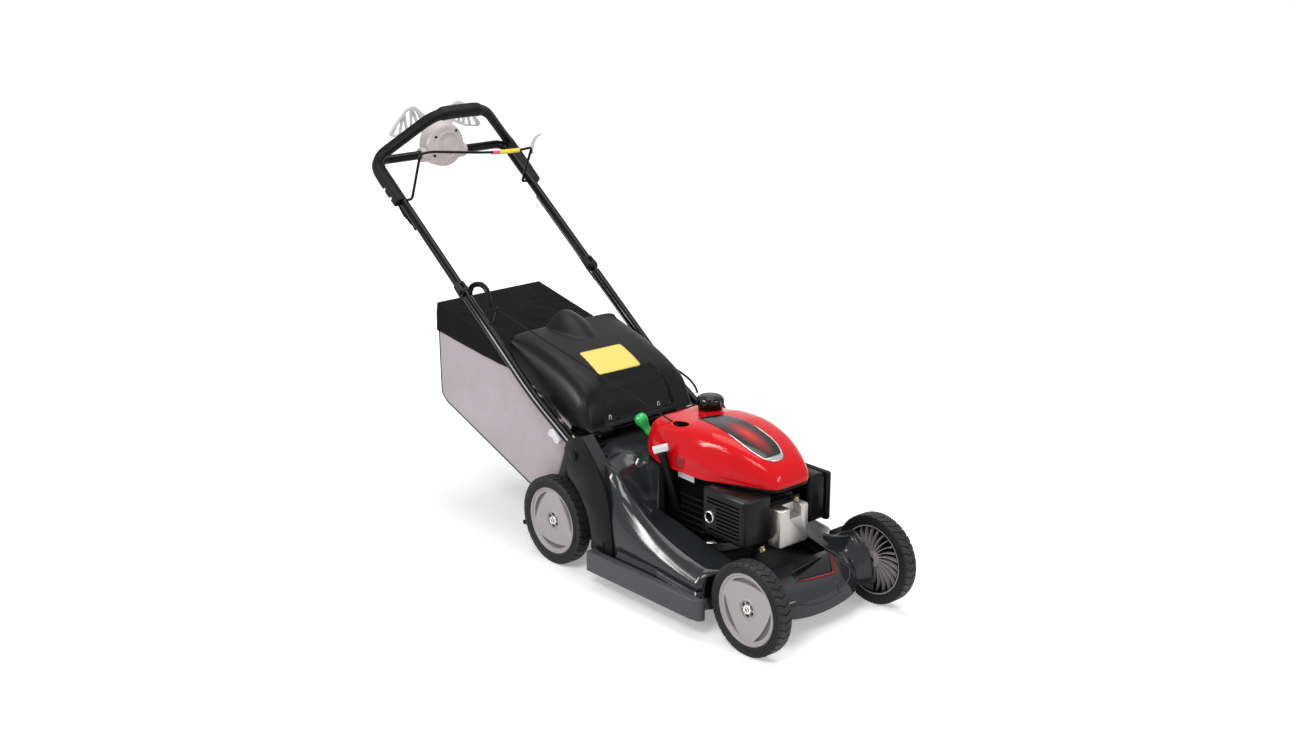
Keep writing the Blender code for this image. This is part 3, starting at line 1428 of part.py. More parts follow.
def hood():
    obj = skin("hood", [hood_row(y) for y in HOOD_STATIONS], HOOD_WALL)
    hinge = (HINGE_Y, HINGE_Z)
    for side in (RIGHT, LEFT):
        ends = sorted((side * 0.110, side * 0.150))
        join(obj, cylinder("knuckle", 0.0105, ends[0], ends[1], "X", hinge, 16))
    bore = cylinder("knuckle_bore", HINGE_ROD_R + GAP, -0.20, 0.20, "X", hinge, 12)
    return part(cut(obj, bore), "hood", PLASTIC_BLACK, (0, *hinge))


def bag_side(inset):
    """Side outline of the bag as (y, z), its mouth edge first."""
    top = Vector(CHUTE_TOP) + Vector((2 * GAP, 0))
    foot = Vector(CHUTE_FOOT) + Vector((2 * GAP, 0))
    down = (foot - top).normalized()
    reach = 0.0 if inset == 0 else -0.010
    out = Vector((reach, reach * 0.37))
    return [
        tuple(top + down * (inset * 1.1) + out),
        tuple(foot - down * (inset * 1.1) + out),
        (0.155, 0.156 + inset * 1.05),
        (0.234, 0.186 + inset * 1.05),
        (0.550 - inset * 0.3, 0.303 + inset * 1.05),
        (0.566 - inset, 0.325 + inset * 0.4),
        (BAG_REAR[0] - inset, BAG_REAR[1] - inset),
        (BAG_RIDGE[0], BAG_RIDGE[1] - inset * 1.05),
        (BAG_LIP[0], BAG_LIP[1] - inset * 1.05),
    ]


def bag_shell():
    obj = plate("bag_shell", bag_side(0.0), -BAG_HALF_WIDTH, BAG_HALF_WIDTH, "X")
    inner = BAG_HALF_WIDTH - BAG_WALL
    return part(cut(obj, plate("bag_hollow", bag_side(BAG_WALL), -inner, inner, "X")), "bag_shell", FABRIC)


def bag_top():
    """Black cloth top with side flaps, over the bag."""
    half = BAG_HALF_WIDTH + BAG_CLOTH
    rise = BAG_CLOTH + 0.001
    rear, high = BAG_REAR[0] + BAG_CLOTH, BAG_REAR[1] + rise
    outline = [(rear, high - FLAP_DEPTH), (rear, high), (BAG_RIDGE[0], BAG_RIDGE[1] + rise)]
    outline += [(BAG_LIP[0] + 0.002, BAG_LIP[1] + rise + GAP), (0.100, 0.422), (0.227, 0.466)]
    outline.append((rear - 0.0295, high - FLAP_DEPTH - 0.0010))
    obj = plate("bag_top", outline, -half, half, "X")
    inner = BAG_HALF_WIDTH + GAP
    over = 2 * GAP
    space = [(0.10, 0.20), (BAG_REAR[0] + GAP, 0.20), (BAG_REAR[0] + GAP, BAG_REAR[1] + over)]
    space += [(BAG_RIDGE[0], BAG_RIDGE[1] + over), (BAG_LIP[0] - 0.010, BAG_LIP[1] - 0.0046 + over)]
    return part(cut(obj, plate("bag_space", space, -inner, inner, "X")), "bag_top", CLOTH_BLACK)


def bag_frame():
    """Wire ring that holds the bag's mouth open."""
    half = BAG_HALF_WIDTH - BAG_WALL - GAP - BAG_FRAME_R * math.cos(math.pi / 8)
    top = Vector(CHUTE_TOP) + Vector((0.014, 0))
    foot = Vector(CHUTE_FOOT) + Vector((0.014, 0))
    down = (foot - top).normalized()
    high = top + down * 0.016
    low = foot - down * 0.016
    bend = 0.020
    ring = []
    for sx, a, b in ((1, high, low), (-1, low, high)):
        step = down * bend * (1 if a is high else -1)
        ring.append(((half - bend) * sx, *a))
        ring.append((half * sx, *(a + step)))
        ring.append((half * sx, *(b - step)))
        ring.append(((half - bend) * sx, *b))
    return part(tube("bag_frame", ring, BAG_FRAME_R, 2, True), "bag_frame", STEEL_BLACK)


def starter_grip():
    """D-shaped grip above the right tube's joint."""
    x = -GUIDE_X
    y, z = GUIDE_POINT
    corners = [(x, y - 0.012, z - 0.014), (x, y - 0.010, z + 0.034), (x, y + 0.024, z + 0.046)]
    corners += [(x, y + 0.082, z + 0.030), (x, y + 0.094, z - 0.004)]
    path = rounded_path(corners, 0.014, 3)
    return part(tube("starter_grip", path, GRIP_R), "starter_grip", PLASTIC_BLACK, (x, y, z))


def starter_rope():
    start = rope_point(GUIDE_POINT[0] - 0.0190)
    end = Vector(ROPE_END)
    path = [start + (end - start) * i / 12 for i in range(13)]
    return part(tube("starter_rope", path, ROPE_R, 1), "starter_rope", ROPE)


def cable_path(side, start, ends):
    """A control cable's middle line along the underside of a handle tube."""
    down = Vector((0, math.sin(SLOPE), -math.cos(SLOPE)))
    x = side * (TUBE_X - 0.002)
    run = []
    for y, more in ((start, 0), (0.540, 0), (0.440, 0), (0.405, 1), (0.360, 1), (0.330, 0), (0.200, 0)):
        drop = CABLE_DROP + more * CABLE_BOW
        run.append(Vector((x, y, tube_z(y))) + down * drop)
    return run + [Vector((side * px, y, z)) for px, y, z in ends]


def control_cable_right():
    ends = [(TUBE_X - 0.015, 0.136, 0.458), (SPRING_X + 0.002, 0.106, 0.4435), (SPRING_X, *SPRING_TOP)]
    path = cable_path(RIGHT, 0.5780, ends)
    path[-1] = Vector(path[-1]) + (Vector(path[-2]) - Vector(path[-1])).normalized() * 0.004
    return part(tube("control_cable_right", path, CABLE_R, 1), "control_cable_right", CABLE_BLACK)


def control_cable_left():
    x = TUBE_X - 0.023
    ends = [(x + 0.008, 0.120, 0.4440), (x + 0.003, 0.060, 0.4470), (x, 0.0189, 0.4449)]
    ends += [(x, -0.0053, 0.4405), (x, -0.0451, 0.4287), (x, -0.0700, 0.4140), (x, -0.0840, 0.3960)]
    path = cable_path(LEFT, 0.620, ends)
    return part(tube("control_cable_left", path, CABLE_R, 1), "control_cable_left", CABLE_BLACK)


def coil(start, end, turns):
    """Points of a helix between two points, which starts and ends on its own axis line's side."""
    ahead = (end - start).normalized()
    side = ahead.cross(Vector((1, 0, 0))).normalized()
    other = ahead.cross(side)
    points = []
    for i in range(turns * COIL_STEPS + 1):
        turn = math.tau * i / COIL_STEPS
        place = start + (end - start) * i / (turns * COIL_STEPS)
        points.append(place + (side * math.cos(turn) + other * math.sin(turn)) * SPRING_R)
    return points


def return_spring():
    """One wire wound into two springs, with a straight piece between and a leg to the hinge rod."""
    x = -SPRING_X
    top, upper = Vector((x, *SPRING_TOP)), Vector((x, *SPRING_UPPER_END))
    lower, foot = Vector((x, *SPRING_LOWER_TOP)), Vector((x, *SPRING_FOOT))
    ahead = (upper - top).normalized()
    points = [top, top + ahead * 0.004]
    points += coil(top + ahead * 0.006, upper, SPRING_TURNS_UPPER)
    points += coil(lower, foot, SPRING_TURNS_LOWER)
    hook = HINGE_Y + HINGE_ROD_R + GAP + 0.0002
    points += [foot + ahead * 0.004, Vector((x, hook, HINGE_Z))]
    pitch = min(
        (upper - top).length / SPRING_TURNS_UPPER, (foot - lower).length / SPRING_TURNS_LOWER
    )
    print("spring: least gap between turns in mm", round((pitch - 2 * SPRING_WIRE_R) * 1000, 2))
    obj = tube("return_spring", points, SPRING_WIRE_R, 1)
    return part(obj, "return_spring", STEEL)


def director_lever():
    """Green lever on the deck, with a rounded knob."""
    foot, top = Vector(LEVER_FOOT), Vector(LEVER_TOP)
    ahead = (top - foot).normalized()
    length = (top - foot).length
    knob = [(0.009, 0.0015), (0.0160, 0.009), (0.0175, 0.018), (0.0135, 0.034), (0.0095, 0.050)]
    profile = [(0.0, length)] + [(r, length - fall) for r, fall in knob]
    profile += [(LEVER_R, length - 0.062), (LEVER_R, 0.0), (0.0, 0.0)]
    obj = solid(turned("director_lever", profile, "Z", (0, 0, 0), 16))
    turn = Vector((0, 0, 1)).rotation_difference(ahead).to_matrix().to_4x4()
    obj.matrix_world = Matrix.Translation(foot) @ turn
    face_outward(bake(obj))
    return part(obj, "director_lever", GREEN, LEVER_FOOT)


def build():
    deck_shell()
    for side, word in ((RIGHT, "right"), (LEFT, "left")):
        side_skirt(side, "side_skirt_" + word)
        tower(side, "tower_" + word)
        lower_handle(side, "lower_handle_" + word)
        paddle(side, "paddle_" + word)
        for end, axle, radius in (("front", FRONT_AXLE, FRONT_WHEEL_R), ("rear", REAR_AXLE, REAR_WHEEL_R)):
            name = end + "_" + word
            rim(side, "rim_" + name, axle)
            tyre(side, "tyre_" + name, axle, radius)
            wheel_bolt(side, "wheel_bolt_" + name, axle)
    height_adjuster("front_height_adjuster", FRONT_PIVOT, FRONT_AXLE, FRONT_ARM_X, 0.1925)
    height_adjuster("rear_height_adjuster", REAR_PIVOT, REAR_AXLE, REAR_ARM_X, 0.1935)
    transmission()
    hinge_rod()
    discharge_chute()
    trail_flap()
    crankcase()
    head_cover()
    muffler_guard()
    air_cleaner_case()
    air_cleaner_cover()
    carburettor()
    fan_housing()
    fuel_tank()
    engine_cover()
    fuel_cap()
    oil_filler_tube()
    dipstick()
    crankshaft()
    flywheel()
    blade("blade_lower", BLADE_Z, math.radians(25), 0.0)
    blade("blade_upper", BLADE_Z + BLADE_SPACING, math.radians(115), 0.006)
    upper_handle()
    loop_cover()
    drive_housing()
    bail()
    bail_lever()
    hood()
    bag_shell()
    bag_top()
    bag_frame()
    starter_grip()
    starter_rope()
    control_cable_right()
    control_cable_left()
    return_spring()
    director_lever()


clear_scene()
PARTS = collection("petrol_lawn_mower")
CUTTERS = collection("cutters")
CUTTERS.hide_render = True

PLASTIC_GREY = material("deck_grey", (0.052, 0.056, 0.062), 0.28)
PLASTIC_DARK = material("dark_grey", (0.085, 0.082, 0.090), 0.5)
PLASTIC_BLACK = material("black_plastic", (0.012, 0.012, 0.013), 0.4)
PLASTIC_LIGHT = material("light_grey", (0.48, 0.44, 0.44), 0.45)
PLASTIC_WHITE = material("pale_grey", (0.62, 0.62, 0.64), 0.45)
RED = material("red_cover", (0.75, 0.012, 0.02), 0.25)
GREEN = material("green_knob", (0.02, 0.45, 0.09), 0.35)
RUBBER = material("rubber", (0.02, 0.02, 0.02), 0.8)
TYRE = material("tyre", (0.022, 0.021, 0.022), 0.75)
STEEL = material("steel", (0.45, 0.45, 0.46), 0.35, 1.0)
STEEL_BLACK = material("black_wire", (0.02, 0.02, 0.02), 0.4)
BLADE_STEEL = material("blade_steel", (0.30, 0.30, 0.31), 0.4, 1.0)
ZINC = material("zinc", (0.70, 0.69, 0.66), 0.3, 1.0)
CAST = material("cast_metal", (0.28, 0.28, 0.29), 0.5, 1.0)
ALUMINIUM = material("aluminium", (0.62, 0.61, 0.59), 0.4, 1.0)
BLACK_METAL = material("black_metal", (0.015, 0.015, 0.016), 0.5, 1.0)
TUBE_BLACK = material("black_tube", (0.012, 0.012, 0.013), 0.25)
ROD_BLACK = material("black_rod", (0.013, 0.013, 0.014), 0.3)
FABRIC = material("bag_fabric", (0.56, 0.49, 0.52), 0.85)
CLOTH_BLACK = material("black_cloth", (0.015, 0.015, 0.016), 0.8)
ROPE = material("rope", (0.02, 0.02, 0.02), 0.8)
CABLE_BLACK = material("black_cable", (0.012, 0.012, 0.012), 0.5)

build()
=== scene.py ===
"""The look of a walk-behind petrol lawn mower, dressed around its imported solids.

Metres, +Z up. The front wheels point to -Y and the handle to +Y. "Right" is -X.
"""

import math

import bmesh
import bpy
from mathutils import Matrix, Vector, noise
from mathutils.bvhtree import BVHTree


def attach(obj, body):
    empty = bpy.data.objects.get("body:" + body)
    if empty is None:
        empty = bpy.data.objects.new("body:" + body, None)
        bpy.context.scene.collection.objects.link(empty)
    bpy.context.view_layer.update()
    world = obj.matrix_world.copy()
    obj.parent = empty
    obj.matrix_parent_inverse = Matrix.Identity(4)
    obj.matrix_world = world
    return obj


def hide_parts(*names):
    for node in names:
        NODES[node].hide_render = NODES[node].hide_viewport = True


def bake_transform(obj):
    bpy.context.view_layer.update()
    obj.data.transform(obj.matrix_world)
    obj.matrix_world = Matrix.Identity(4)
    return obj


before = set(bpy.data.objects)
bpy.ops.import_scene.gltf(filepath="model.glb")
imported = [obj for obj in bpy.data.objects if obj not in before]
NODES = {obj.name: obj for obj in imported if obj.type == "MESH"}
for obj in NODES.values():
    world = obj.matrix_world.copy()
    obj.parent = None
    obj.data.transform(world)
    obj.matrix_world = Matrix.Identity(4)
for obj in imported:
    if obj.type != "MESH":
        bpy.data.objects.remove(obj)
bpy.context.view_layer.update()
RIGHT, LEFT = -1, 1
DOWN = (0, 0, -1)
SIDES = ((RIGHT, "right"), (LEFT, "left"))


# Materials


def feed(tree, socket, value):
    """Links a socket to another node's output, or sets its value."""
    if isinstance(value, bpy.types.NodeSocket):
        tree.links.new(value, socket)
    else:
        socket.default_value = value


def node(tree, kind, **sockets):
    """A new shader node with some of its inputs linked or set."""
    made = tree.nodes.new("ShaderNode" + kind)
    for name, value in sockets.items():
        feed(tree, made.inputs[name.replace("_", " ")], value)
    return made


def maths(tree, kind, operation, *values):
    """The value that a Math or VectorMath node works out."""
    made = tree.nodes.new("ShaderNode" + kind)
    made.operation = operation
    for socket, value in zip(made.inputs, values):
        feed(tree, socket, value)
    return made.outputs["Value"]


def ramp(tree, factor, first, last, *between):
    """The colour at a factor, from marks of (position, colour)."""
    made = node(tree, "ValToRGB", Fac=factor)
    marks = made.color_ramp.elements
    for mark, (position, rgb) in zip(marks, (first, last)):
        mark.position, mark.color = position, (*rgb, 1)
    for position, rgb in between:
        marks.new(position).color = (*rgb, 1)
    return made.outputs["Color"]


def mixed(tree, factor, first, second):
    """Two colours mixed by a factor."""
    made = tree.nodes.new("ShaderNodeMix")
    made.data_type = "RGBA"
    for socket, value in ((made.inputs["Factor"], factor), (made.inputs[6], first), (made.inputs[7], second)):
        feed(tree, socket, value)
    return made.outputs[2]


def relief(tree, bsdf, height, strength, distance, invert=False):
    """Bumps a finish by a height."""
    bump = node(tree, "Bump", Strength=strength, Distance=distance, Height=height)
    bump.invert = invert
    feed(tree, bsdf.inputs["Normal"], bump.outputs["Normal"])


def finish(
    name, rgb, rough, metallic=0.0, spread=0.08, grain=0.0, grain_size=900.0, rough_spread=0.06, wear=0.0, shine=0.5,
):
    """A moulded or painted finish: colour and gloss that vary a little, with a fine grain."""
    mat = bpy.data.materials.new(name)
    mat.use_nodes = True
    tree = mat.node_tree
    bsdf = tree.nodes["Principled BSDF"]
    place = node(tree, "TexCoord").outputs["Object"]
    broad = node(tree, "TexNoise", Vector=place, Scale=14.0, Detail=4.0, Roughness=0.6).outputs["Fac"]
    darker, lighter = [c * (1 - spread) for c in rgb], [min(1.0, c * (1 + spread)) for c in rgb]
    colour = ramp(tree, broad, (0.3, darker), (0.75, lighter))
    if wear:
        edge = node(tree, "NewGeometry").outputs["Pointiness"]
        sharp = node(tree, "MapRange", Value=edge, From_Min=0.52, From_Max=0.62, To_Max=wear)
        colour = mixed(tree, sharp.outputs["Result"], colour, (*[min(1.0, c * 1.7 + 0.03) for c in rgb], 1))
    low, high = max(0.03, rough - rough_spread), min(1.0, rough + rough_spread)
    gloss = node(tree, "MapRange", Value=broad, To_Min=low, To_Max=high)
    feed(tree, bsdf.inputs["Metallic"], metallic)
    feed(tree, bsdf.inputs["Specular IOR Level"], shine)
    feed(tree, bsdf.inputs["Base Color"], colour)
    feed(tree, bsdf.inputs["Roughness"], gloss.outputs["Result"])
    if grain:
        fine = node(tree, "TexNoise", Vector=place, Scale=grain_size, Detail=3.0)
        relief(tree, bsdf, fine.outputs["Fac"], grain, 0.0004)
    return mat


def woven(name, rgb, pitch, hole):
    """Woven cloth: threads that cross on the plane the surface faces, with dark gaps between them."""
    mat = finish(name, rgb, 0.85, rough_spread=0.03)
    tree = mat.node_tree
    bsdf = tree.nodes["Principled BSDF"]
    pale = rgb[0] > 0.1
    bsdf.inputs["Sheen Weight"].default_value = 0.15 if pale else 0.0
    bsdf.inputs["Specular IOR Level"].default_value = 0.25 if pale else 0.06
    place = node(tree, "TexCoord").outputs["Object"]
    tilted = node(tree, "Mapping", Vector=place, Rotation=(math.radians(24), 0.0, 0.0)).outputs["Vector"]
    threads = []
    for axis in "YZ":
        wave = node(tree, "TexWave", Vector=tilted, Scale=math.pi / (10 * pitch), Distortion=0.25, Detail=1.0)
        wave.bands_direction = axis
        threads.append(wave.outputs["Fac"])
    lower = maths(tree, "Math", "MULTIPLY", *threads)
    colour = tree.nodes["Color Ramp"].outputs["Color"]
    feed(tree, bsdf.inputs["Base Color"], mixed(tree, lower, colour, (*[c * hole for c in rgb], 1)))
    relief(tree, bsdf, lower, 0.5, 0.0006, True)
    return mat


DECK_GREY = finish("deck_grey", (0.019, 0.02, 0.0225), 0.13, spread=0.05, rough_spread=0.02, shine=0.3)
SKIRT_GREY = finish("skirt_grey", (0.066, 0.064, 0.07), 0.42, grain=0.25, shine=0.15)
SATIN_BLACK = finish("satin_black", (0.0042, 0.0042, 0.0045), 0.36, grain=0.25, shine=0.1)
HOOD_BLACK = finish("hood_black", (0.004, 0.004, 0.0043), 0.36, grain=0.2, grain_size=1400, shine=0.13)
GLOSS_BLACK = finish("gloss_black", (0.0032, 0.0032, 0.0035), 0.1, spread=0.05, shine=0.2)
# Black for the sheet over the engine's bay: painted shade
BAY_SHADE_BLACK = finish("bay_shade_black", (0.0034, 0.0034, 0.0037), 0.3, spread=0.05, shine=0.035)
# Deep black, which also paints shade into holes: the hood's clip holes, the rope's slot and the outlet's throat
DEEP_BLACK = finish("deep_black", (0.002, 0.002, 0.0022), 0.8, shine=0.02)
ROUGH_BLACK = finish("rough_black", (0.0046, 0.0046, 0.0049), 0.45, grain=0.4, shine=0.1)
RIM_GREY = finish("rim_grey", (0.355, 0.325, 0.335), 0.42, spread=0.04, grain=0.15, shine=0.3)
# Darker greys for the floors of the rim's crescents and hub pockets: painted shade in those recesses of a rim that is
# one light grey
RIM_PAINTED_SHADE = finish("rim_painted_shade", (0.15, 0.138, 0.142), 0.5, spread=0.04, grain=0.15, shine=0.2)
HUB_PAINTED_SHADE = finish("hub_painted_shade", (0.04, 0.038, 0.039), 0.5, spread=0.04, grain=0.15, shine=0.1)
HOUSING_GREY = finish("housing_grey", (0.5, 0.44, 0.435), 0.4, spread=0.04, grain=0.15)
PADDLE_GREY = finish("paddle_grey", (0.6, 0.58, 0.59), 0.38, spread=0.04, grain=0.1)
PALE_GREY = finish("pale_grey", (0.62, 0.62, 0.64), 0.35, spread=0.03)
RED = finish("red_cover", (0.57, 0.004, 0.0085), 0.12, spread=0.03, rough_spread=0.02, shine=0.15)
RED_DARK = finish("red_square", (0.27, 0.003, 0.0055), 0.3, spread=0.05, shine=0.2)
GREEN = finish("green_knob", (0.022, 0.46, 0.085), 0.3, spread=0.05)
YELLOW = finish("yellow_plate", (0.72, 0.575, 0.135), 0.5, spread=0.03, grain=0.1, shine=0.2)
SLEEVE_YELLOW = finish("sleeve_yellow", (0.85, 0.58, 0.02), 0.36, spread=0.05)
SLEEVE_RED = finish("sleeve_red", (0.62, 0.075, 0.12), 0.36, spread=0.05)
RUBBER = finish("rubber", (0.006, 0.006, 0.006), 0.7, grain=0.4, shine=0.1)
TYRE = finish("tyre", (0.0105, 0.0102, 0.0108), 0.5, spread=0.2, grain=0.4, wear=0.3, shine=0.16)
STEEL = finish("steel", (0.5, 0.5, 0.51), 0.3, 1.0, grain=0.15, grain_size=500)
ZINC = finish("zinc", (0.8, 0.79, 0.76), 0.22, 1.0, spread=0.12, grain=0.1)
BRASS = finish("brass", (0.42, 0.36, 0.22), 0.3, 1.0, spread=0.12, grain=0.1)
SILVER = finish("silver_trim", (0.42, 0.42, 0.44), 0.3, 1.0, spread=0.04)
BLADE = finish("blade_steel", (0.3, 0.3, 0.31), 0.38, 1.0, spread=0.2, grain=0.3)
CAST = finish("cast_metal", (0.3, 0.3, 0.31), 0.42, 1.0, spread=0.15, grain=0.8, grain_size=420)
ALUMINIUM = finish("aluminium", (0.4, 0.385, 0.365), 0.36, 1.0, spread=0.12, grain=0.5, grain_size=500)
BLACK_METAL = finish("black_metal", (0.0042, 0.0041, 0.0042), 0.3, grain=0.3, shine=0.14)
TUBE_BLACK = finish("tube_black", (0.0028, 0.0028, 0.0031), 0.09, spread=0.1, rough_spread=0.02, shine=0.13)
SPRING_BLACK = finish("spring_black", (0.007, 0.007, 0.007), 0.28, spread=0.1, shine=0.3)
CLOTH = woven("bag_fabric", (0.52, 0.455, 0.485), 0.0022, 0.4)
CLOTH_BLACK = woven("black_cloth", (0.0085, 0.008, 0.0084), 0.0012, 0.4)
CORD_BLACK = finish("cord_black", (0.006, 0.006, 0.006), 0.4, grain=0.3, grain_size=1500, shine=0.18)
ROPE_BLACK = finish("rope_black", (0.008, 0.008, 0.008), 0.7, grain=0.6, grain_size=1500, shine=0.1)


GLOW_AT, GLOW_REACH = (-0.016, -0.49), (0.03, 0.09)


def inlay_finish():
    """Glossy black with a red glow along the middle."""
    mat = finish("cover_inlay", (0.01, 0.009, 0.009), 0.12, spread=0.02, shine=0.32)
    tree = mat.node_tree
    shift = node(
        tree, "Mapping", Vector=node(tree, "TexCoord").outputs["Object"],
        Location=(*[-at / reach for at, reach in zip(GLOW_AT, GLOW_REACH)], 0.0),
        Scale=(*[1 / reach for reach in GLOW_REACH], 0.0),
    )
    away = maths(tree, "VectorMath", "LENGTH", shift.outputs["Vector"])
    glow = ramp(tree, away, (0.0, (0.62, 0.02, 0.022)), (1.0, (0.009, 0.008, 0.008)), (0.5, (0.24, 0.01, 0.012)))
    feed(tree, tree.nodes["Principled BSDF"].inputs["Base Color"], glow)
    return mat


INLAY = inlay_finish()

# The finishes of the solids that show: new pieces replace all the others
NODE_FINISH = {
    name: mat
    for mat, names in (
        (SKIRT_GREY, "side_skirt_right side_skirt_left"),
        (SATIN_BLACK, "tower_right tower_left discharge_chute air_cleaner_case air_cleaner_cover oil_filler_tube"),
        (BLACK_METAL, "hinge_rod crankcase muffler_guard front_height_adjuster rear_height_adjuster"),
        (ALUMINIUM, "head_cover carburettor"),
        (ROUGH_BLACK, "fan_housing fuel_tank"),
        (CAST, "transmission flywheel"),
        (STEEL, "crankshaft"),
        (BLADE, "blade_lower blade_upper"),
        (TUBE_BLACK, "bag_frame"),
        (RUBBER, "trail_flap"),
    )
    for name in names.split()
}


def soften(obj, width, angle=38.0, segments=2):
    """Rounds the hard edges of a piece and shades what lies between them smoothly."""
    weld = obj.modifiers.new("weld", "WELD")
    weld.merge_threshold = 0.00001
    bevel = obj.modifiers.new("bevel", "BEVEL")
    bevel.width = width
    bevel.segments = segments
    bevel.limit_method = "ANGLE"
    bevel.angle_limit = math.radians(angle)
    bevel.harden_normals = True
    for face in obj.data.polygons:
        face.use_smooth = True


def dress_nodes():
    """Gives the solids that show their finishes."""
    for name, mat in NODE_FINISH.items():
        obj = NODES[name]
        obj.data.materials.clear()
        obj.data.materials.append(mat)
        soften(obj, 0.0007)


# Shapes


def smooth_at(points, x):
    """Height at x of a smooth line through (x, height) points, which never overshoots them."""
    if x <= points[0][0]:
        return points[0][1]
    if x >= points[-1][0]:
        return points[-1][1]
    slopes = [(b[1] - a[1]) / (b[0] - a[0]) for a, b in zip(points, points[1:])]
    i = next(k for k in range(len(slopes)) if x <= points[k + 1][0])

    def tangent(k):
        if k in (0, len(slopes)):
            return slopes[min(k, len(slopes) - 1)]
        a, b = slopes[k - 1], slopes[k]
        return 0.0 if a * b <= 0 else 2 * a * b / (a + b)

    (x0, y0), (x1, y1) = points[i], points[i + 1]
    h = x1 - x0
    t = (x - x0) / h
    rise = (t**3 - 2 * t * t + t) * h * tangent(i) + (t**3 - t * t) * h * tangent(i + 1)
    return (2 * t**3 - 3 * t * t + 1) * y0 + (3 * t * t - 2 * t**3) * y1 + rise


def step(low, high, x):
    t = min(1.0, max(0.0, (x - low) / (high - low)))
    return t * t * (3 - 2 * t)


def spread(low, high, count):
    return [low + (high - low) * i / (count - 1) for i in range(count)]


def spline(points, per_span=6, closed=False):
    """Points on a smooth curve through the given ones."""
    points = [Vector(p) for p in points]
    count = len(points)
    spans = count if closed else count - 1
    out = []
    for i in range(spans):
        p1, p2 = points[i], points[(i + 1) % count]
        p0 = points[i - 1] if closed or i else p1 * 2 - p2
        p3 = points[(i + 2) % count] if closed or i + 2 < count else p2 * 2 - p1
        for k in range(per_span):
            t = k / per_span
            out.append(
                (p1 * 2 + (p2 - p0) * t + (p0 * 2 - p1 * 5 + p2 * 4 - p3) * t * t
                 + (p1 * 3 - p0 - p2 * 3 + p3) * t**3) / 2
            )
    if not closed:
        out.append(points[-1])
    return out


def piece(name, points, faces, mat, body, stands_for=(), sharp=32, slot=None):
    """A new mesh that rides on a body and may stand for some of the CAD's nodes."""
    mesh = bpy.data.meshes.new(name)
    mesh.from_pydata([tuple(p) for p in points], [], faces)
    form = bmesh.new()
    form.from_mesh(mesh)
    bmesh.ops.remove_doubles(form, verts=form.verts, dist=1e-6)
    bmesh.ops.recalc_face_normals(form, faces=form.faces)
    form.to_mesh(mesh)
    form.free()
    obj = bpy.data.objects.new(name, mesh)
    bpy.context.scene.collection.objects.link(obj)
    mesh.materials.append(mat)
    for face in mesh.polygons:
        face.use_smooth = True
    mesh.set_sharp_from_angle(angle=math.radians(sharp))
    if body:
        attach(obj, body)
    if stands_for:
        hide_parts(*stands_for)
    return obj


def grid_faces(rows, columns, closed=False, start=0):
    faces = []
    for i in range(rows - 1):
        for j in range(columns if closed else columns - 1):
            a, b = start + i * columns + j, start + i * columns + (j + 1) % columns
            faces.append((a, b, b + columns, a + columns))
    return faces


def bake(obj):
    """Applies a piece's modifiers."""
    bpy.context.view_layer.update()
    graph = bpy.context.evaluated_depsgraph_get()
    mesh = bpy.data.meshes.new_from_object(obj.evaluated_get(graph))
    obj.modifiers.clear()
    obj.data = mesh
    return obj


def thick(obj, depth, offset=-1.0, even=True):
    """Gives a surface a wall."""
    wall = obj.modifiers.new("wall", "SOLIDIFY")
    wall.thickness, wall.offset, wall.use_even_offset = depth, offset, even
    return bake(obj)


def face_up(obj):
    """Turns an open surface's normals up."""
    if sum(f.normal.z * f.area for f in obj.data.polygons) < 0:
        obj.data.flip_normals()


def carve(obj, cutters):
    """Cuts pieces out of another and removes them."""
    for cutter in cutters:
        cut = obj.modifiers.new("cut", "BOOLEAN")
        cut.operation = "DIFFERENCE"
        cut.solver = "EXACT"
        cut.object = cutter
    bake(obj)
    for cutter in cutters:
        bpy.data.objects.remove(cutter)
    for face in obj.data.polygons:
        face.use_smooth = True
    obj.data.set_sharp_from_angle(angle=math.radians(32))
    return obj


def prism(name, outline, low, high, axis, mat=SATIN_BLACK, body=None, soft=(), **more):
    """A flat outline drawn out along X, Y or Z, between low and high, its edges perhaps softened."""
    def at(p, h):
        return {"X": (h, p[0], p[1]), "Y": (p[0], h, p[1]), "Z": (p[0], p[1], h)}[axis]
    count = len(outline)
    points = [at(p, low) for p in outline] + [at(p, high) for p in outline]
    faces = [tuple(range(count)), tuple(range(2 * count - 1, count - 1, -1))]
    faces += [(i, (i + 1) % count, count + (i + 1) % count, count + i) for i in range(count)]
    obj = piece(name, points, faces, mat, body, **more)
    if soft:
        soften(obj, *soft)
    return obj


def on_side(side, near, far):
    """Two distances from the middle plane on one side of it, as X values in rising order."""
    return sorted((side * near, side * far))


def polar(centre, radius, turn):
    return centre[0] + radius * math.cos(turn), centre[1] + radius * math.sin(turn)


def ring_points(radius, centre, count):
    return [polar(centre, radius, math.tau * i / count) for i in range(count)]


def turned(profile, axis, centre, steps, closed=True, lobed=None):
    """Points and faces of a profile of (radius, height) turned round an axis."""
    points, count = [], len(profile)
    for i in range(steps):
        turn = math.tau * i / steps
        for radius, height in profile:
            a, b = polar(centre, lobed(radius, height, turn) if lobed else radius, turn)
            points.append({"X": (height, a, b), "Y": (a, height, b), "Z": (a, b, height)}[axis])
    faces = []
    for i in range(steps):
        n = (i + 1) % steps
        for j in range(count if closed else count - 1):
            k = (j + 1) % count
            faces.append((i * count + j, i * count + k, n * count + k, n * count + j))
    return points, faces


def lathe(name, profile, axis, centre, steps, mat, body, closed=True, lobed=None, **more):
    """A piece turned round an axis."""
    return piece(name, *turned(profile, axis, centre, steps, closed, lobed), mat, body, **more)


def sided(profile, side, face):
    """A profile of (radius, inset from a face) on one side of the machine."""
    return [(radius, side * (face - inset)) for radius, inset in profile]


def heading(path, i):
    """The way a path takes at one of its points."""
    return (path[min(i + 1, len(path) - 1)] - path[max(i - 1, 0)]).normalized()


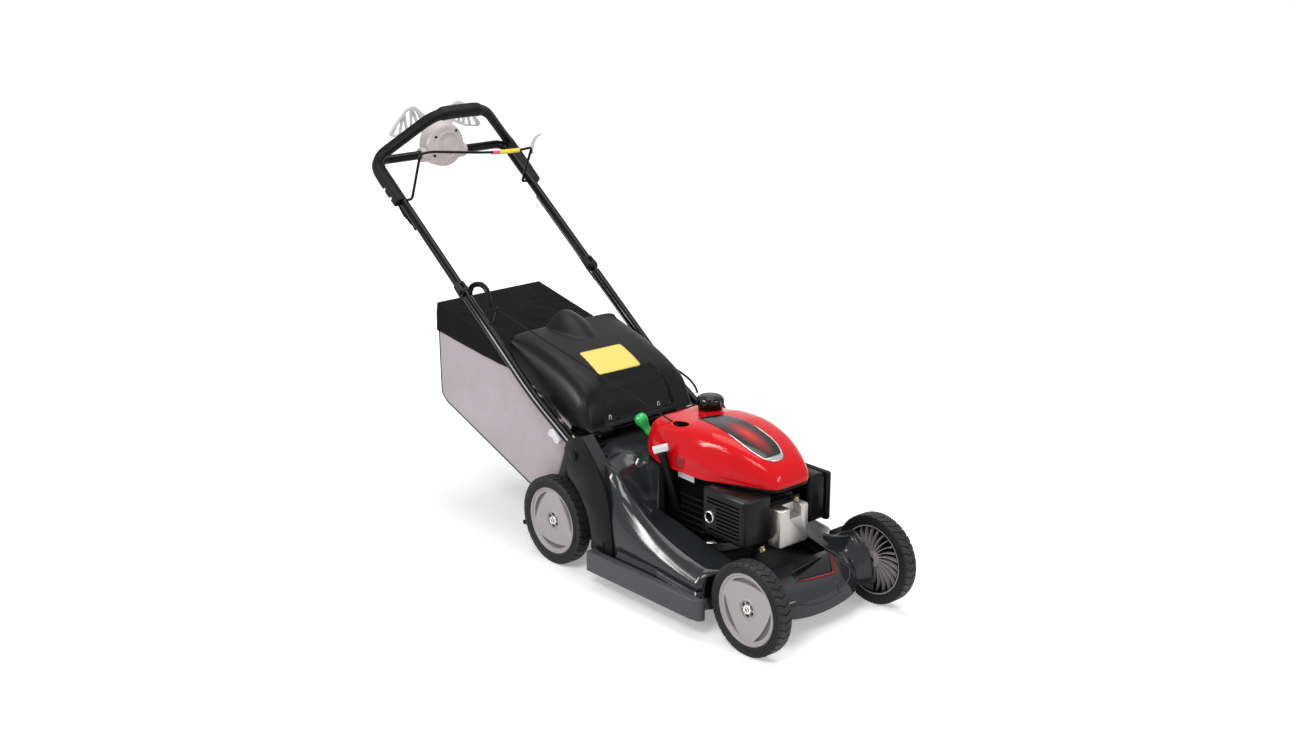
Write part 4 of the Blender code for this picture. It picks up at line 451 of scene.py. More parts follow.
def pipe(name, path, radius, mat, body, sides=16, closed=False, **more):
    """A round tube along a path, with closed ends."""
    path = [Vector(p) for p in path]
    count = len(path)
    points, side = [], None
    for i, p in enumerate(path):
        ahead = (path[(i + 1) % count] if closed or i + 1 < count else p) - (path[i - 1] if closed or i else p)
        ahead.normalize()
        if side is None:
            side = ahead.orthogonal().normalized()
        side = (side - ahead * side.dot(ahead)).normalized()
        other = ahead.cross(side)
        for k in range(sides):
            turn = math.tau * k / sides
            points.append(p + (side * math.cos(turn) + other * math.sin(turn)) * radius)
    faces = grid_faces(count, sides, True)
    if closed:
        last = (count - 1) * sides
        faces += [(last + k, last + (k + 1) % sides, (k + 1) % sides, k) for k in range(sides)]
    else:
        faces += [tuple(range(sides)), tuple(range((count - 1) * sides, count * sides))]
    return piece(name, points, faces, mat, body, **more)


# Wheels

FRONT_AXLE, REAR_AXLE = (-0.7125, 0.115), (0.0055, 0.118)
FACE_X, BOLT_FACE_X = 0.2395, 0.2303
RIM_R = 0.089
LUGS = 36
CRESCENT_AWAY = 0.14


def tyre(side, axle, radius, name, body):
    """Smooth sidewalls with two grooves, and a tread of chevron lugs."""
    f, base = FACE_X, radius - 0.0026
    profile = [
        (RIM_R + 0.0003, 0.0028), (0.0912, 0.0004), (0.095, 0), (0.096, 0.0014),
        (0.0976, 0.0014), (0.0986, 0.0001), (0.102, 0.0004), (0.103, 0.0017),
        (0.1042, 0.0017), (0.1052, 0.0008), (base - 0.003, 0.0016),
        (base, 0.005), (base, 0.037), (base - 0.003, 0.0404),
        (0.099, 0.042), (0.0912, 0.0416), (RIM_R + 0.0003, 0.0392),
    ]
    points, faces = turned(sided(profile, side, f), "X", axle, 96)
    across = [
        (0.0014, 0.0052, 0.0), (0.0032, 0.0008, 0.0), (0.006, 0.0, 0.3), (0.013, 0.0, 2.2),
        (0.0205, 0.0, 4.6), (0.028, 0.0, 2.2), (0.036, 0.0, 0.3), (0.0388, 0.0008, 0.0),
        (0.0406, 0.0052, 0.0),
    ]
    for lug in range(LUGS):
        middle = math.tau * lug / LUGS - math.pi / 2
        first = len(points)
        for inset, fall, swing in across:
            for half, low in ((-1, True), (-1, False), (1, False), (1, True)):
                turn = middle + math.radians(swing + half * (4.5 if low else 4.1))
                r = base - 0.002 if low else radius - min(fall, 0.004)
                points.append((side * (f - inset), *polar(axle, r, turn)))
        faces += grid_faces(len(across), 4, True, first)
        last = first + (len(across) - 1) * 4
        faces += [tuple(range(first, first + 4)), tuple(range(last, last + 4))]
    piece(name + "_tread", points, faces, TYRE, body, (name,), 30)


def wedge(centre, low, high, start, end, count=6):
    """Outline between two radii and two angles."""
    turns = spread(start, end, count)
    return [polar(centre, high, t) for t in turns] + [polar(centre, low, t) for t in reversed(turns)]


def crescent(axle, middle):
    """Outline of one of the three openings of a rim."""
    span = math.radians(43)
    outer = RIM_R - 0.0125
    reach = math.hypot(math.sin(span) * outer, math.cos(span) * outer + CRESCENT_AWAY)
    wide = math.asin(math.sin(span) * outer / reach)
    inner = polar(axle, -CRESCENT_AWAY, middle)
    back = spread(middle + wide * 0.93, middle - wide * 0.93, 14)
    return (
        [polar(axle, outer, t) for t in spread(middle - span, middle + span, 18)]
        + [polar(inner, reach, t) for t in back]
    )


def rim(side, axle, name, body):
    """A dished rim with three crescents and a pocketed hub, and curved fins behind. The floors of the crescents and
    pockets are darker and a black well lines the rim inside: painted shade.
    """
    f = FACE_X
    profile = [
        (0.085, 0.0034), (0.086, 0.0026), (0.0876, 0.0026), (RIM_R, 0.0036),
        (RIM_R, 0.0385), (0.0862, 0.0385), (0.0845, 0.0165), (0.021, 0.0165),
        (0.02, 0.0395), (0.0083, 0.0395), (0.0083, 0.0096), (0.0215, 0.0096),
        (0.0222, 0.0068), (0.0245, 0.0062), (0.0275, 0.0082), (0.05, 0.0078),
        (0.077, 0.0084), (0.0815, 0.008), (0.0836, 0.0055),
    ]
    obj = lathe(name + "_dish", sided(profile, side, f), "X", axle, 96, RIM_GREY, body, stands_for=(name,))
    start = math.radians(90 if axle == FRONT_AXLE else -90)
    # The beds and pockets close the openings with darker floors: painted shade in the recesses
    openings = [("bed", i, crescent(axle, start + math.tau * i / 3), 0.014, 0.015, 0.0136, RIM_PAINTED_SHADE) for i in range(3)]
    for i in range(6):
        turn = math.tau * i / 6
        outline = wedge(axle, 0.0122, 0.0202, turn + 0.13, turn + math.tau / 6 - 0.13)
        openings.append(("pocket", i, outline, 0.015, 0.0158, 0.0146, HUB_PAINTED_SHADE))
    cutters = []
    for kind, i, outline, deep, back, front, mat in openings:
        cutters.append(prism("cutter", outline, *on_side(side, f - deep, f + 0.004), "X"))
        prism(f"{name}_{kind}_{i + 1}", outline, *on_side(side, f - back, f - front), "X", mat, body)
    carve(obj, cutters)
    edge = obj.modifiers.new("edge", "BEVEL")
    edge.width, edge.segments, edge.angle_limit = 0.0007, 2, math.radians(40)
    edge.harden_normals = True
    points, faces = [], []
    for i in range(24):
        first = len(points)
        for k in range(7):
            t = k / 6
            r = 0.0195 + 0.0655 * t
            turn = math.tau * i / 24 + side * 0.42 * t
            for half in (-0.0008, 0.0008):
                for x in (f - 0.0158, f - 0.0158 - 0.018 * (1 - 0.35 * t)):
                    a = axle[0] + r * math.cos(turn) - half * math.sin(turn)
                    b = axle[1] + r * math.sin(turn) + half * math.cos(turn)
                    points.append((side * x, a, b))
        for k in range(6):
            a = first + k * 4
            for p, q in ((0, 1), (1, 3), (3, 2), (2, 0)):
                faces.append((a + p, a + q, a + q + 4, a + p + 4))
        faces += [(first, first + 1, first + 3, first + 2), (first + 24, first + 25, first + 27, first + 26)]
    piece(name + "_fins", points, faces, RIM_GREY, body)
    # A black lining and backing disc inside the light grey rim: painted shade in the rim's hollow
    profile = [(0.0215, 0.0168), (0.0838, 0.0168), (0.0842, 0.0172), (0.0842, 0.038),
               (0.0838, 0.038), (0.0838, 0.0176), (0.0215, 0.0176)]
    lathe(name + "_shade_well", sided(profile, side, f), "X", axle, 72, SATIN_BLACK, body, slot="light_grey")


def washer(side, axle, name, body):
    """The pressed ring and the socket of a wheel bolt."""
    profile = [(0.004, -0.0048), (0.0052, -0.0068), (0.0072, -0.0064), (0.0078, -0.0022),
               (0.0104, -0.002), (0.0112, -0.001), (0.0112, 0), (0.004, 0)]
    lathe(name + "_head", sided(profile, side, BOLT_FACE_X), "X", axle, 40, ZINC, body, stands_for=(name,))


def wheels():
    for end, axle, radius in (("front", FRONT_AXLE, 0.115), ("rear", REAR_AXLE, 0.118)):
        for side, hand in SIDES:
            body = f"wheel_{end}_{hand}"
            tyre(side, axle, radius, f"tyre_{end}_{hand}", body)
            rim(side, axle, f"rim_{end}_{hand}", body)
            washer(side, axle, f"wheel_bolt_{end}_{hand}", f"{end}_adjuster")


# The grass bag

BAG_X = 0.178
CLOTH_DEPTH = 0.0012
BAG_TOP = ((-0.0114, 0.37), (0.05, 0.42), (0.24, 0.508), (0.572, 0.58))
BAG_FOOT = ((0.0526, 0.2), (0.155, 0.156), (0.234, 0.186), (0.55, 0.303), (0.567, 0.325))


def on_line(points, share):
    """The point that lies at a share of a bent line's length."""
    points = [Vector(p) for p in points]
    left = share * sum((b - a).length for a, b in zip(points, points[1:]))
    for a, b in zip(points, points[1:]):
        span = (b - a).length
        if left <= span + 1e-9:
            return a.lerp(b, left / span)
        left -= span
    return points[-1]


def fold(x, y, z, size=1.0):
    """Soft folds and creases of cloth, from 0 to about 1."""
    p = Vector((x, y, z)) / size
    broad = noise.noise(p * 7.0 + Vector((3.1, 0.4, 8.8)))
    ridge = 1.0 - abs(noise.noise(p * 12.0 + Vector((0.7 + broad, 5.2, 1.9)))) * 2.6
    return max(0.0, 0.5 + 0.5 * broad) * 0.5 + max(0.0, ridge) ** 2 * 0.5


def bag_point(u, v, side):
    """A point of the bag's side, at a share of its length and of its height."""
    low, high = on_line(BAG_FOOT, u), on_line(BAG_TOP, u)
    y, z = low.lerp(high, v)
    edge = math.sin(math.pi * min(1.0, max(0.0, u))) ** 0.5 * math.sin(math.pi * v) ** 0.6
    sag = (0.0045 * edge + 0.0022 * edge * (fold(side * 0.3, y, z, 1.6) - 0.4)) * step(1.0, 0.62, v)
    return (side * (BAG_X - 0.0005 + sag), y, z)


def bag_sides():
    """The two mesh panels, which bulge a little and pucker along the frame."""
    rows, columns = 60, 40
    for side, hand in SIDES:
        points = [bag_point(i / (rows - 1), j / (columns - 1), side) for i in range(rows) for j in range(columns)]
        obj = piece(f"bag_mesh_{hand}", points, grid_faces(rows, columns), CLOTH, "grass_bag", ("bag_shell",), 60)
        thick(obj, CLOTH_DEPTH, 1.0)


def bag_belt():
    """Black cloth under, behind and over the mesh, from one side to the other."""
    loop = [on_line(BAG_FOOT, i / 30) for i in range(31)]
    loop += [Vector(BAG_FOOT[-1]).lerp(Vector(BAG_TOP[-1]), i / 12) for i in range(1, 13)]
    points = []
    columns = 25
    for i, p in enumerate(loop):
        for j in range(columns):
            x = (j / (columns - 1) * 2 - 1) * (BAG_X - 0.0008)
            across = 1 - (x / BAG_X) ** 2
            drop = 0.004 * across * step(2, 8, i) if i <= 30 else 0.0
            out = 0.004 * across * fold(x, p.x, p.y) * step(31, 34, i) * step(43, 40, i) if i > 31 else 0.0
            points.append((x, p.x + out, p.y - drop))
    obj = piece("bag_belt", points, grid_faces(len(loop), columns), CLOTH_BLACK, "grass_bag", sharp=50)
    thick(obj, CLOTH_DEPTH, 0.0)
    for side, hand in SIDES:
        path = [(side * (BAG_X + 0.0006), p.x, p.y) for p in loop[4:]]
        pipe(f"bag_piping_{hand}", path, 0.0018, CLOTH_BLACK, "grass_bag", 8)


def bag_lid():
    """The black cloth top with its side and rear flaps, creased where the frame pulls it."""
    rows, columns, drop = 90, 61, 9
    half, top_share = BAG_X + 0.0016, 0.8
    front, back = 0.052, 0.5735
    points = []
    for i in range(rows):
        y, z = on_line(((front, 0.4235), (0.24, 0.5107), (back, 0.5832)), i / (rows - 1))
        hang = smooth_at(((front, 0.004), (0.1, 0.012), (0.227, 0.04), (0.4, 0.062), (back, 0.078)), y)
        for t in spread(-1, 1, columns):
            x = math.copysign(min(1.0, abs(t) / top_share) * half, t)
            down = hang * max(0.0, abs(t) - top_share) / 0.2
            lift = 0.0
            if down == 0:
                free = step(0.22, 0.3, y) * step(0.578, 0.55, y) * step(half, half - 0.03, abs(x))
                lift = 0.0075 * free * fold(x * 1.3, y, 0.2, 0.8) - 0.0005
            else:
                x += math.copysign((0.0034 + 0.003 * fold(0.9, y, z - down, 0.9)) * step(0, 0.03, down), t)
            points.append((x, y, z + lift - down))
    faces = grid_faces(rows, columns)
    first = len(points)
    end = points[-columns:]
    for k in range(1, drop):
        for x, y, z in end:
            fall = 0.078 * k / (drop - 1) if abs(x) < half - 0.001 else 0.0
            points.append((x, back + 0.0022 * fold(x, 0.4, z - fall) * k / drop, z - fall))
    inner = [j for j, t in enumerate(spread(-1, 1, columns)) if abs(t) <= top_share + 1e-6]
    rows_at = [first - columns] + [first + k * columns for k in range(drop - 1)]
    for a, b in zip(rows_at, rows_at[1:]):
        faces += [(a + j, a + j + 1, b + j + 1, b + j) for j in inner[:-1]]
    obj = piece("bag_lid", points, faces, CLOTH_BLACK, "grass_bag", ("bag_top",), 50)
    form = bmesh.new()
    form.from_mesh(obj.data)
    bmesh.ops.delete(form, geom=[v for v in form.verts if not v.link_faces], context="VERTS")
    form.to_mesh(obj.data)
    form.free()
    thick(obj, CLOTH_DEPTH, 0.0)


# The hood over the bag's mouth

HOOD_TOP = (
    (-0.093, 0.3745), (-0.084, 0.3765), (-0.079, 0.397), (-0.066, 0.436), (-0.05, 0.463),
    (-0.015, 0.49), (0.03, 0.512), (0.075, 0.528), (0.12, 0.541), (0.195, 0.557),
    (0.236, 0.562),
)
HOOD_HEM = (
    (-0.093, 0.3715), (-0.084, 0.3735), (-0.079, 0.374), (-0.03, 0.379), (0.03, 0.398),
    (0.109, 0.432), (0.201, 0.492), (0.225, 0.52), (0.236, 0.538),
)
HINGE = (-0.088, 0.364)
SHELL = 0.0028
HOOD_FRONT_Y, HOOD_REAR_Y = -0.093, 0.236


def hood_point(y, t):
    """A point of the hood at y, with t from -1 at one hem to 1 at the other."""
    top, hem = smooth_at(HOOD_TOP, y), smooth_at(HOOD_HEM, y)
    drop = top - hem
    wide = 0.187 * smooth_at(((HOOD_FRONT_Y, 0.945), (-0.04, 1.0)), y)
    line = ((0.0, 0.0, 0.0), (0.3, 0.066, 0.0), (0.52, 0.12, 0.01), (0.66, 0.148, 0.05),
            (0.78, 0.17, 0.2), (0.88, wide - 0.005, 0.5), (1.0, wide, 1.0))
    s = abs(t)
    x = smooth_at([(a, b) for a, b, _ in line], s)
    z = top - drop * smooth_at([(a, c) for a, _, c in line], s)
    away = math.hypot(x / 0.063, (HOOD_REAR_Y - y) / 0.112)
    z += 0.037 * max(0.0, 1 - away * away) ** 1.15
    x = math.copysign(x, t)
    edge = smooth_at(((HOOD_FRONT_Y, 0.121), (-0.079, 0.119), (-0.03, 0.1)), y)
    bed = step(edge, edge - 0.006, abs(x + 0.004)) * step(-0.012, -0.04, y) * step(-0.085, -0.08, y)
    slope = (smooth_at(HOOD_TOP, y + 0.002) - smooth_at(HOOD_TOP, y - 0.002)) / 0.004
    depth = 0.0075 * bed / math.hypot(1, slope)
    return (x, y + depth * slope, z - depth)


def hood():
    """The black hood, its knuckles on the rod, the plate, two clips, and dark discs at their holes, which are painted
    shade.
    """
    stations = spread(HOOD_FRONT_Y, -0.08, 8) + spread(-0.0785, -0.04, 26) + spread(-0.036, HOOD_REAR_Y, 60)
    across = [math.copysign(abs(t) ** 0.9, t) for t in spread(-1, 1, 131)]
    points = [hood_point(y, t) for y in stations for t in across]
    faces = grid_faces(len(stations), len(across))
    obj = piece("hood_shell", points, faces, HOOD_BLACK, "hood", ("hood",), 40)
    thick(obj, SHELL)
    for side, hand in SIDES:
        near, far = on_side(side, 0.11, 0.15)
        profile = [(0.0044, near), (0.0105, near), (0.0105, far), (0.0044, far)]
        lathe(f"hood_knuckle_{hand}", profile, "X", HINGE, 32, SATIN_BLACK, "hood")
    corners = [(-0.0805, 0.0742), (0.0584, 0.0708), (0.0558, -0.017), (-0.0874, -0.0147)]
    plate = [Vector((x, y, 0.7)) for x, y in rounded(corners, 0.007)]
    lay_on("hood_plate", plate, obj, DOWN, YELLOW, "hood")
    for x, hole_x, hand in ((-0.0995, -0.0755, "right"), (0.0681, 0.0921, "left")):
        half = [(0.0035, -0.088, 0.386), (0.0035, -0.087, 0.393), (0.0024, -0.0865, 0.3963)]
        path = [(x - a, b, c) for a, b, c in half] + [(x, -0.0863, 0.3976)] + [(x + a, b, c) for a, b, c in half[::-1]]
        pull = meet(obj, Vector((x, -0.3, 0.393)), (0, 1, 0)).y - (-0.0862)
        path = [(px, py + pull, pz) for px, py, pz in path]
        pipe(f"hood_clip_{hand}", spline(path, 3), 0.0009, PALE_GREY, "hood", 8, slot="zinc")
        # Deep black discs on the hood stand for the clips' holes: painted shade
        spot = [Vector((hole_x + a, -0.3, 0.3835 + b)) for a, b in ring_points(0.0026, (0, 0), 14)]
        lay_on(f"hood_hole_shade_{hand}", spot, obj, (0, 1, 0), DEEP_BLACK, "hood", 3)


# Things laid on a surface

PLATE = 0.0008


def rounded(corners, radius, steps=5):
    """The outline of a flat shape with its corners rounded."""
    out = []
    count = len(corners)
    for i in range(count):
        before, corner, after = Vector(corners[i - 1]), Vector(corners[i]), Vector(corners[(i + 1) % count])
        start, end = (before - corner).normalized(), (after - corner).normalized()
        for k in range(steps + 1):
            t = k / steps
            out.append(corner + start * radius * (1 - t) ** 2 + end * radius * t * t)
    return out


def tree_of(obj):
    bpy.context.view_layer.update()
    return BVHTree.FromObject(obj, bpy.context.evaluated_depsgraph_get())


def meet(obj, start, way):
    """Where a line from a point first meets a piece."""
    return tree_of(obj).ray_cast(Vector(start), Vector(way))[0]


def lay_on(name, outline, onto, way, mat, body, rings=10, **more):
    """A thin plate that follows a surface, its outline thrown on it along a direction."""
    way = Vector(way).normalized()
    tree = tree_of(onto)
    edge = dense(outline + outline[:1])[:-1]
    centre = sum(edge, Vector()) / len(edge)
    points = []
    for k in range(rings + 1):
        for p in edge:
            place = tree.ray_cast(centre.lerp(p, k / rings), way)[0]
            points.append((place or p) - way * PLATE * 0.45)
    obj = piece(name, points, grid_faces(rings + 1, len(edge), True), mat, body, **more)
    return thick(obj, PLATE, 0.0)


def ribbon(name, path, up, cast, way, wide, rows, onto, mat, depth, **more):
    """A thin strip thrown on a piece along a path. The rows are (share of the half width, lift)."""
    tree, points = tree_of(onto), []
    up, way = Vector(up), Vector(way).normalized()
    for i, p in enumerate(path):
        out = up.cross(heading(path, i)) * wide(p, i)
        for share, lift in rows:
            points.append(tree.ray_cast(Vector(cast(p + out * share)), way)[0] + Vector(lift))
    return thick(piece(name, points, grid_faces(len(path), len(rows)), mat, "deck", **more), depth, 0.0)


# The engine's cover, cap and dipstick

COVER_SIDE = (
    (-0.626, 0.048), (-0.616, 0.062), (-0.596, 0.074), (-0.567, 0.087), (-0.53, 0.1),
    (-0.49, 0.111), (-0.444, 0.12), (-0.4, 0.1245), (-0.35, 0.126), (-0.3, 0.1235),
    (-0.262, 0.117), (-0.232, 0.109), (-0.214, 0.1), (-0.206, 0.084),
)
COVER_RIDGE = (
    (-0.64, 0.37), (-0.617, 0.385), (-0.6, 0.395), (-0.58, 0.4055), (-0.555, 0.4165),
    (-0.52, 0.429), (-0.47, 0.441), (-0.42, 0.447), (-0.36, 0.4455), (-0.31, 0.4385),
    (-0.26, 0.4335), (-0.2, 0.43),
)
COVER_RISE = (
    (1.0, 0.0), (1.003, 0.12), (1.003, 0.24), (0.998, 0.32), (0.986, 0.41), (0.968, 0.51),
    (0.946, 0.61), (0.918, 0.71), (0.878, 0.8), (0.822, 0.87), (0.75, 0.92), (0.65, 0.952),
    (0.5, 0.977), (0.34, 0.991), (0.17, 0.998), (0.0, 1.0),
)
COVER_HEM = (
    (-0.62, 0.338), (-0.55, 0.3375), (-0.49, 0.333), (-0.43, 0.328), (-0.28, 0.328),
    (-0.24, 0.333), (-0.206, 0.338),
)
COVER_CREASE = ((-0.58, 0.1), (-0.485, 0.2), (-0.4, 0.34), (-0.36, 0.4))
SPINE = (0.006, -0.52, -0.27)
INLAY_OUTLINE = (
    (-0.0383, -0.3333), (0.0233, -0.3625), (0.0285, -0.41), (0.03, -0.467), (0.0285, -0.535),
    (0.016, -0.586), (-0.0019, -0.5945), (-0.04, -0.587), (-0.0585, -0.5374), (-0.057, -0.4632),
    (-0.049, -0.4),
)
INLAY_FRONT = (
    (-0.056, -0.463), (-0.058, -0.503), (-0.0568, -0.54), (-0.046, -0.574), (-0.034, -0.5835),
    (-0.012, -0.587), (0.0075, -0.5835), (0.0175, -0.569), (0.0265, -0.536), (0.0294, -0.467),
)
OVERHEAD = 0.6
CAP_PLACE = (0.052, -0.287)
SLOT_PLACE = (-0.079, -0.32)


def cover_point(x, y, pull, lift):
    """A point of the cover, from its outline pulled in to the spine and lifted to the ridge."""
    spine_y = min(max(y, SPINE[1]), SPINE[2])
    px, py = SPINE[0] + (x - SPINE[0]) * pull, spine_y + (y - spine_y) * pull
    hem = smooth_at(COVER_HEM, y)
    z = hem + (smooth_at(COVER_RIDGE, py) - hem) * lift
    fade = step(-0.36, -0.395, y) * step(-0.6, -0.52, y)
    out = 0.0026 * fade * math.exp(-abs(lift - smooth_at(COVER_CREASE, y)) / 0.05)
    out -= 0.0012 * fade * step(0.22, 0.0, lift)
    return (px + math.copysign(out, x - SPINE[0]), py, z)


def slot_oval(long, short):
    """Outline of the rope's slot, whose long axis is turned a little."""
    out, (x, y), turn = [], SLOT_PLACE, math.radians(84)
    for c, s in ring_points(1.0, (0, 0), 32):
        a, b = long * c, short * s
        out.append((x + a * math.cos(turn) - b * math.sin(turn), y + a * math.sin(turn) + b * math.cos(turn)))
    return out


def engine_cover():
    """The red cover, its slot for the rope lined with painted shade, the neck's hole, the inlay and a square."""
    half = [(0.022, -0.628), *((w, y) for y, w in COVER_SIDE), (0.04, -0.203)]
    ring = spline([(x + SPINE[0], y, 0) for x, y in half + [(-x, y) for x, y in reversed(half)]], 5, True)
    index = spread(0, len(COVER_RISE) - 1, 58)
    pulls, lifts = list(enumerate(p for p, _ in COVER_RISE)), list(enumerate(r for _, r in COVER_RISE))
    levels = [(smooth_at(pulls, i), smooth_at(lifts, i)) for i in index]
    points = [cover_point(p.x, p.y, pull, lift) for pull, lift in levels for p in ring]
    faces = grid_faces(len(levels), len(ring), True)
    obj = piece("cover_shell", points, faces, RED, "deck", ("engine_cover",))
    thick(obj, SHELL)
    whole = obj.copy()
    whole.data = obj.data.copy()
    bpy.context.scene.collection.objects.link(whole)
    slot = prism("cutter", slot_oval(0.03, 0.012), 0.36, 0.5, "Z")
    neck = prism("cutter", ring_points(0.024, CAP_PLACE, 40), 0.36, 0.5, "Z")
    carve(obj, [slot, neck])
    # A deep black cup lines the slot and closes it below the top: painted shade of the slot's depth
    outline, inner, floor = slot_oval(0.0297, 0.0117), slot_oval(0.0287, 0.0107), 0.404
    tops = [meet(whole, (x, y, OVERHEAD), DOWN).z - 0.0008 for x, y in outline]
    rows = [[(x, y, z) for (x, y), z in zip(outline, tops)], [(x, y, floor) for x, y in outline],
            [(x, y, floor) for x, y in inner], [(x, y, z) for (x, y), z in zip(inner, tops)]]
    faces = grid_faces(4, len(outline), True) + [tuple(range(2 * len(outline), 3 * len(outline)))]
    piece("rope_slot_shade", [p for row in rows for p in row], faces, DEEP_BLACK, "deck")
    panel = [Vector((x, y, OVERHEAD)) for x, y in rounded(INLAY_OUTLINE, 0.004, 3)]
    lay_on("cover_inlay", panel, whole, DOWN, INLAY, "deck", 16)
    path = spline([(x, y, 0) for x, y in INLAY_FRONT], 5)
    ribbon(
        "inlay_edge", path, (0, 0, 1), lambda q: (q.x, q.y, OVERHEAD), DOWN,
        lambda p, i: 0.0014 + 0.0056 * math.exp(-(((p.x + 0.014) / 0.024) ** 4)) * step(-0.555, -0.578, p.y),
        [(share, (0, 0, 0.0009)) for share in (-1.0, -0.33, 0.33, 1.0)], whole, SILVER, PLATE, slot="aluminium",
    )
    square = rounded([(-0.345, 0.368), (-0.378, 0.366), (-0.374, 0.338), (-0.342, 0.339)], 0.002, 3)
    square = [Vector((-0.3, y, z)) for y, z in square]
    lay_on("cover_square", square, whole, (1, 0, 0), RED_DARK, "deck", 6)
    bpy.data.objects.remove(whole)


def fuel_cap():
    """A domed cap with twelve lobes round its grip."""
    profile = (
        (0.0, 0.4718), (0.01, 0.4717), (0.018, 0.4712), (0.0208, 0.4706), (0.0218, 0.4694), (0.0236, 0.4694),
        (0.0246, 0.4706), (0.029, 0.4694), (0.033, 0.466), (0.0352, 0.461), (0.036, 0.455), (0.0358, 0.449),
        (0.034, 0.445), (0.0318, 0.4438), (0.0312, 0.4425), (0.0312, 0.434), (0.03, 0.4325), (0.0, 0.4325),
    )

    def lobed(r, z, turn):
        lobe = 0.0026 * step(0.444, 0.448, z) * step(0.4706, 0.467, z) * (0.5 + 0.5 * math.cos(12 * turn)) ** 3
        return r - (0.002 - lobe if r > 0.0328 else 0.0)

    lathe("cap_shell", profile, "Z", CAP_PLACE, 120, GLOSS_BLACK, "fuel_cap", False, lobed,
          stands_for=("fuel_cap",), sharp=50)


OIL_FOOT, OIL_TOP = Vector((-0.087, -0.336, 0.176)), Vector((-0.138, -0.318, 0.362))


def seat(obj, body, foot, ahead, across=(1, 0, 0), stands_for=()):
    """Sets a piece made about the Z axis on another axis, its X side towards a direction."""
    ahead, across = Vector(ahead).normalized(), Vector(across)
    side = (across - ahead * ahead.dot(across)).normalized()
    turn = Matrix((side, ahead.cross(side), ahead)).transposed().to_4x4()
    obj.data.transform(Matrix.Translation(Vector(foot)) @ turn)
    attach(obj, body)
    if stands_for:
        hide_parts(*stands_for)


def dipstick():
    """The dark neck and the pale grip of the dipstick."""
    ahead = (OIL_TOP - OIL_FOOT).normalized()
    foot, across = OIL_TOP + ahead * 0.0004, (0.747, -0.665, 0)
    profile = [(0.0, 0.0), (0.0122, 0.0), (0.0122, 0.01), (0.0112, 0.0118), (0.0086, 0.0135), (0.0, 0.0135)]
    neck = lathe("dipstick_neck", profile, "Z", (0, 0), 40, SATIN_BLACK, None, False, slot="black_plastic")
    seat(neck, "dipstick", foot, ahead)
    outline = rounded([(-0.019, -0.0075), (0.019, -0.0075), (0.0205, 0.0075), (-0.0205, 0.0075)], 0.004)
    grip = prism("dipstick_grip", outline, 0.013, 0.029, "Z", PALE_GREY, None, (0.0024, 40, 4), slot="pale_grey")
    seat(bake(grip), "dipstick", foot, ahead, across, ("dipstick",))
    outline = rounded([(-0.012, -0.003), (0.012, -0.003), (0.012, 0.0015), (-0.012, 0.0015)], 0.001, 3)
    mark = prism("dipstick_mark", outline, 0.0286, 0.0294, "Z", HOUSING_GREY, None, slot="pale_grey")
    seat(mark, "dipstick", foot, ahead, across)


def director_lever():
    """A round green knob that narrows to its stem."""
    foot, top = Vector((-0.0225, -0.181, 0.314)), Vector((-0.055, -0.13, 0.405))
    length = (top - foot).length
    line = ((0.0, 0.0), (0.0005, 0.006), (0.004, 0.0125), (0.01, 0.0162), (0.017, 0.0172),
            (0.025, 0.0156), (0.033, 0.0122), (0.04, 0.01), (0.046, 0.0094), (0.053, 0.01),
            (0.06, 0.009), (0.063, 0.0056), (length, 0.0055))
    falls = spread(0, 0.004, 5) + spread(0.006, length, 44)
    profile = [(smooth_at(line, fall), length - fall) for fall in falls] + [(0.0, 0.0)]
    knob = lathe("lever_knob", profile, "Z", (0, 0), 48, GREEN, None, False, slot="green_knob")
    seat(knob, "director_lever", foot, top - foot, stands_for=("director_lever",))


# The cords, on the routes that their solids have

TUBE_X, TUBE_R = 0.223, 0.0125
SLOPE = math.radians(36.9)
FOLD_AXIS = (0.385, 0.6575)
CROSS_Y = 0.784


def tube_z(y):
    return FOLD_AXIS[1] + (y - FOLD_AXIS[0]) * math.tan(SLOPE)


GRIP_PLACE, ROPE_END = (-0.196, 0.322, 0.636), (-0.072, -0.305, 0.4225)


def rope_at(y):
    """The place of the taut rope at y."""
    start, end = Vector(GRIP_PLACE), Vector(ROPE_END)
    return start.lerp(end, (start.y - y) / (start.y - end.y))


def starter_rope():
    """Taut from the grip through the eye and into the cover."""
    start = rope_at(0.303)
    path = [start.lerp(Vector(ROPE_END), i / 72) for i in range(73)]
    obj = pipe("rope_line", path, 0.002, ROPE_BLACK, None, 10, slot="rope")
    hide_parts("starter_rope")
    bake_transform(obj)


def control_cables():
    """Two cables held along the tubes, which bend where the handle folds."""
    down = Vector((0, math.sin(SLOPE), -math.cos(SLOPE)))
    ends = {
        RIGHT: [(0.208, 0.136, 0.458), (0.2005, 0.106, 0.4435), (0.1985, 0.0886, 0.437)],
        LEFT: [(0.208, 0.12, 0.444), (0.203, 0.06, 0.447), (0.2, 0.0189, 0.4449), (0.2, -0.0053, 0.4405),
               (0.2, -0.0451, 0.4287), (0.2, -0.07, 0.414), (0.2, -0.084, 0.396)],
    }
    for side, hand, first in ((RIGHT, "right", 0.578), (LEFT, "left", 0.62)):
        run = []
        for y, bow in ((first, 0), (0.54, 0), (0.44, 0), (0.405, 1), (0.36, 1), (0.33, 0), (0.2, 0)):
            run.append(Vector((side * (TUBE_X - 0.002), y, tube_z(y))) + down * (0.0158 + 0.0022 * bow))
        path = spline(run + [Vector((side * x, y, z)) for x, y, z in ends[side]], 10)
        obj = pipe(f"cable_{hand}", path, 0.003, CORD_BLACK, None, 12, slot="black_cable")
        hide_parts(f"control_cable_{hand}")
        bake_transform(obj)


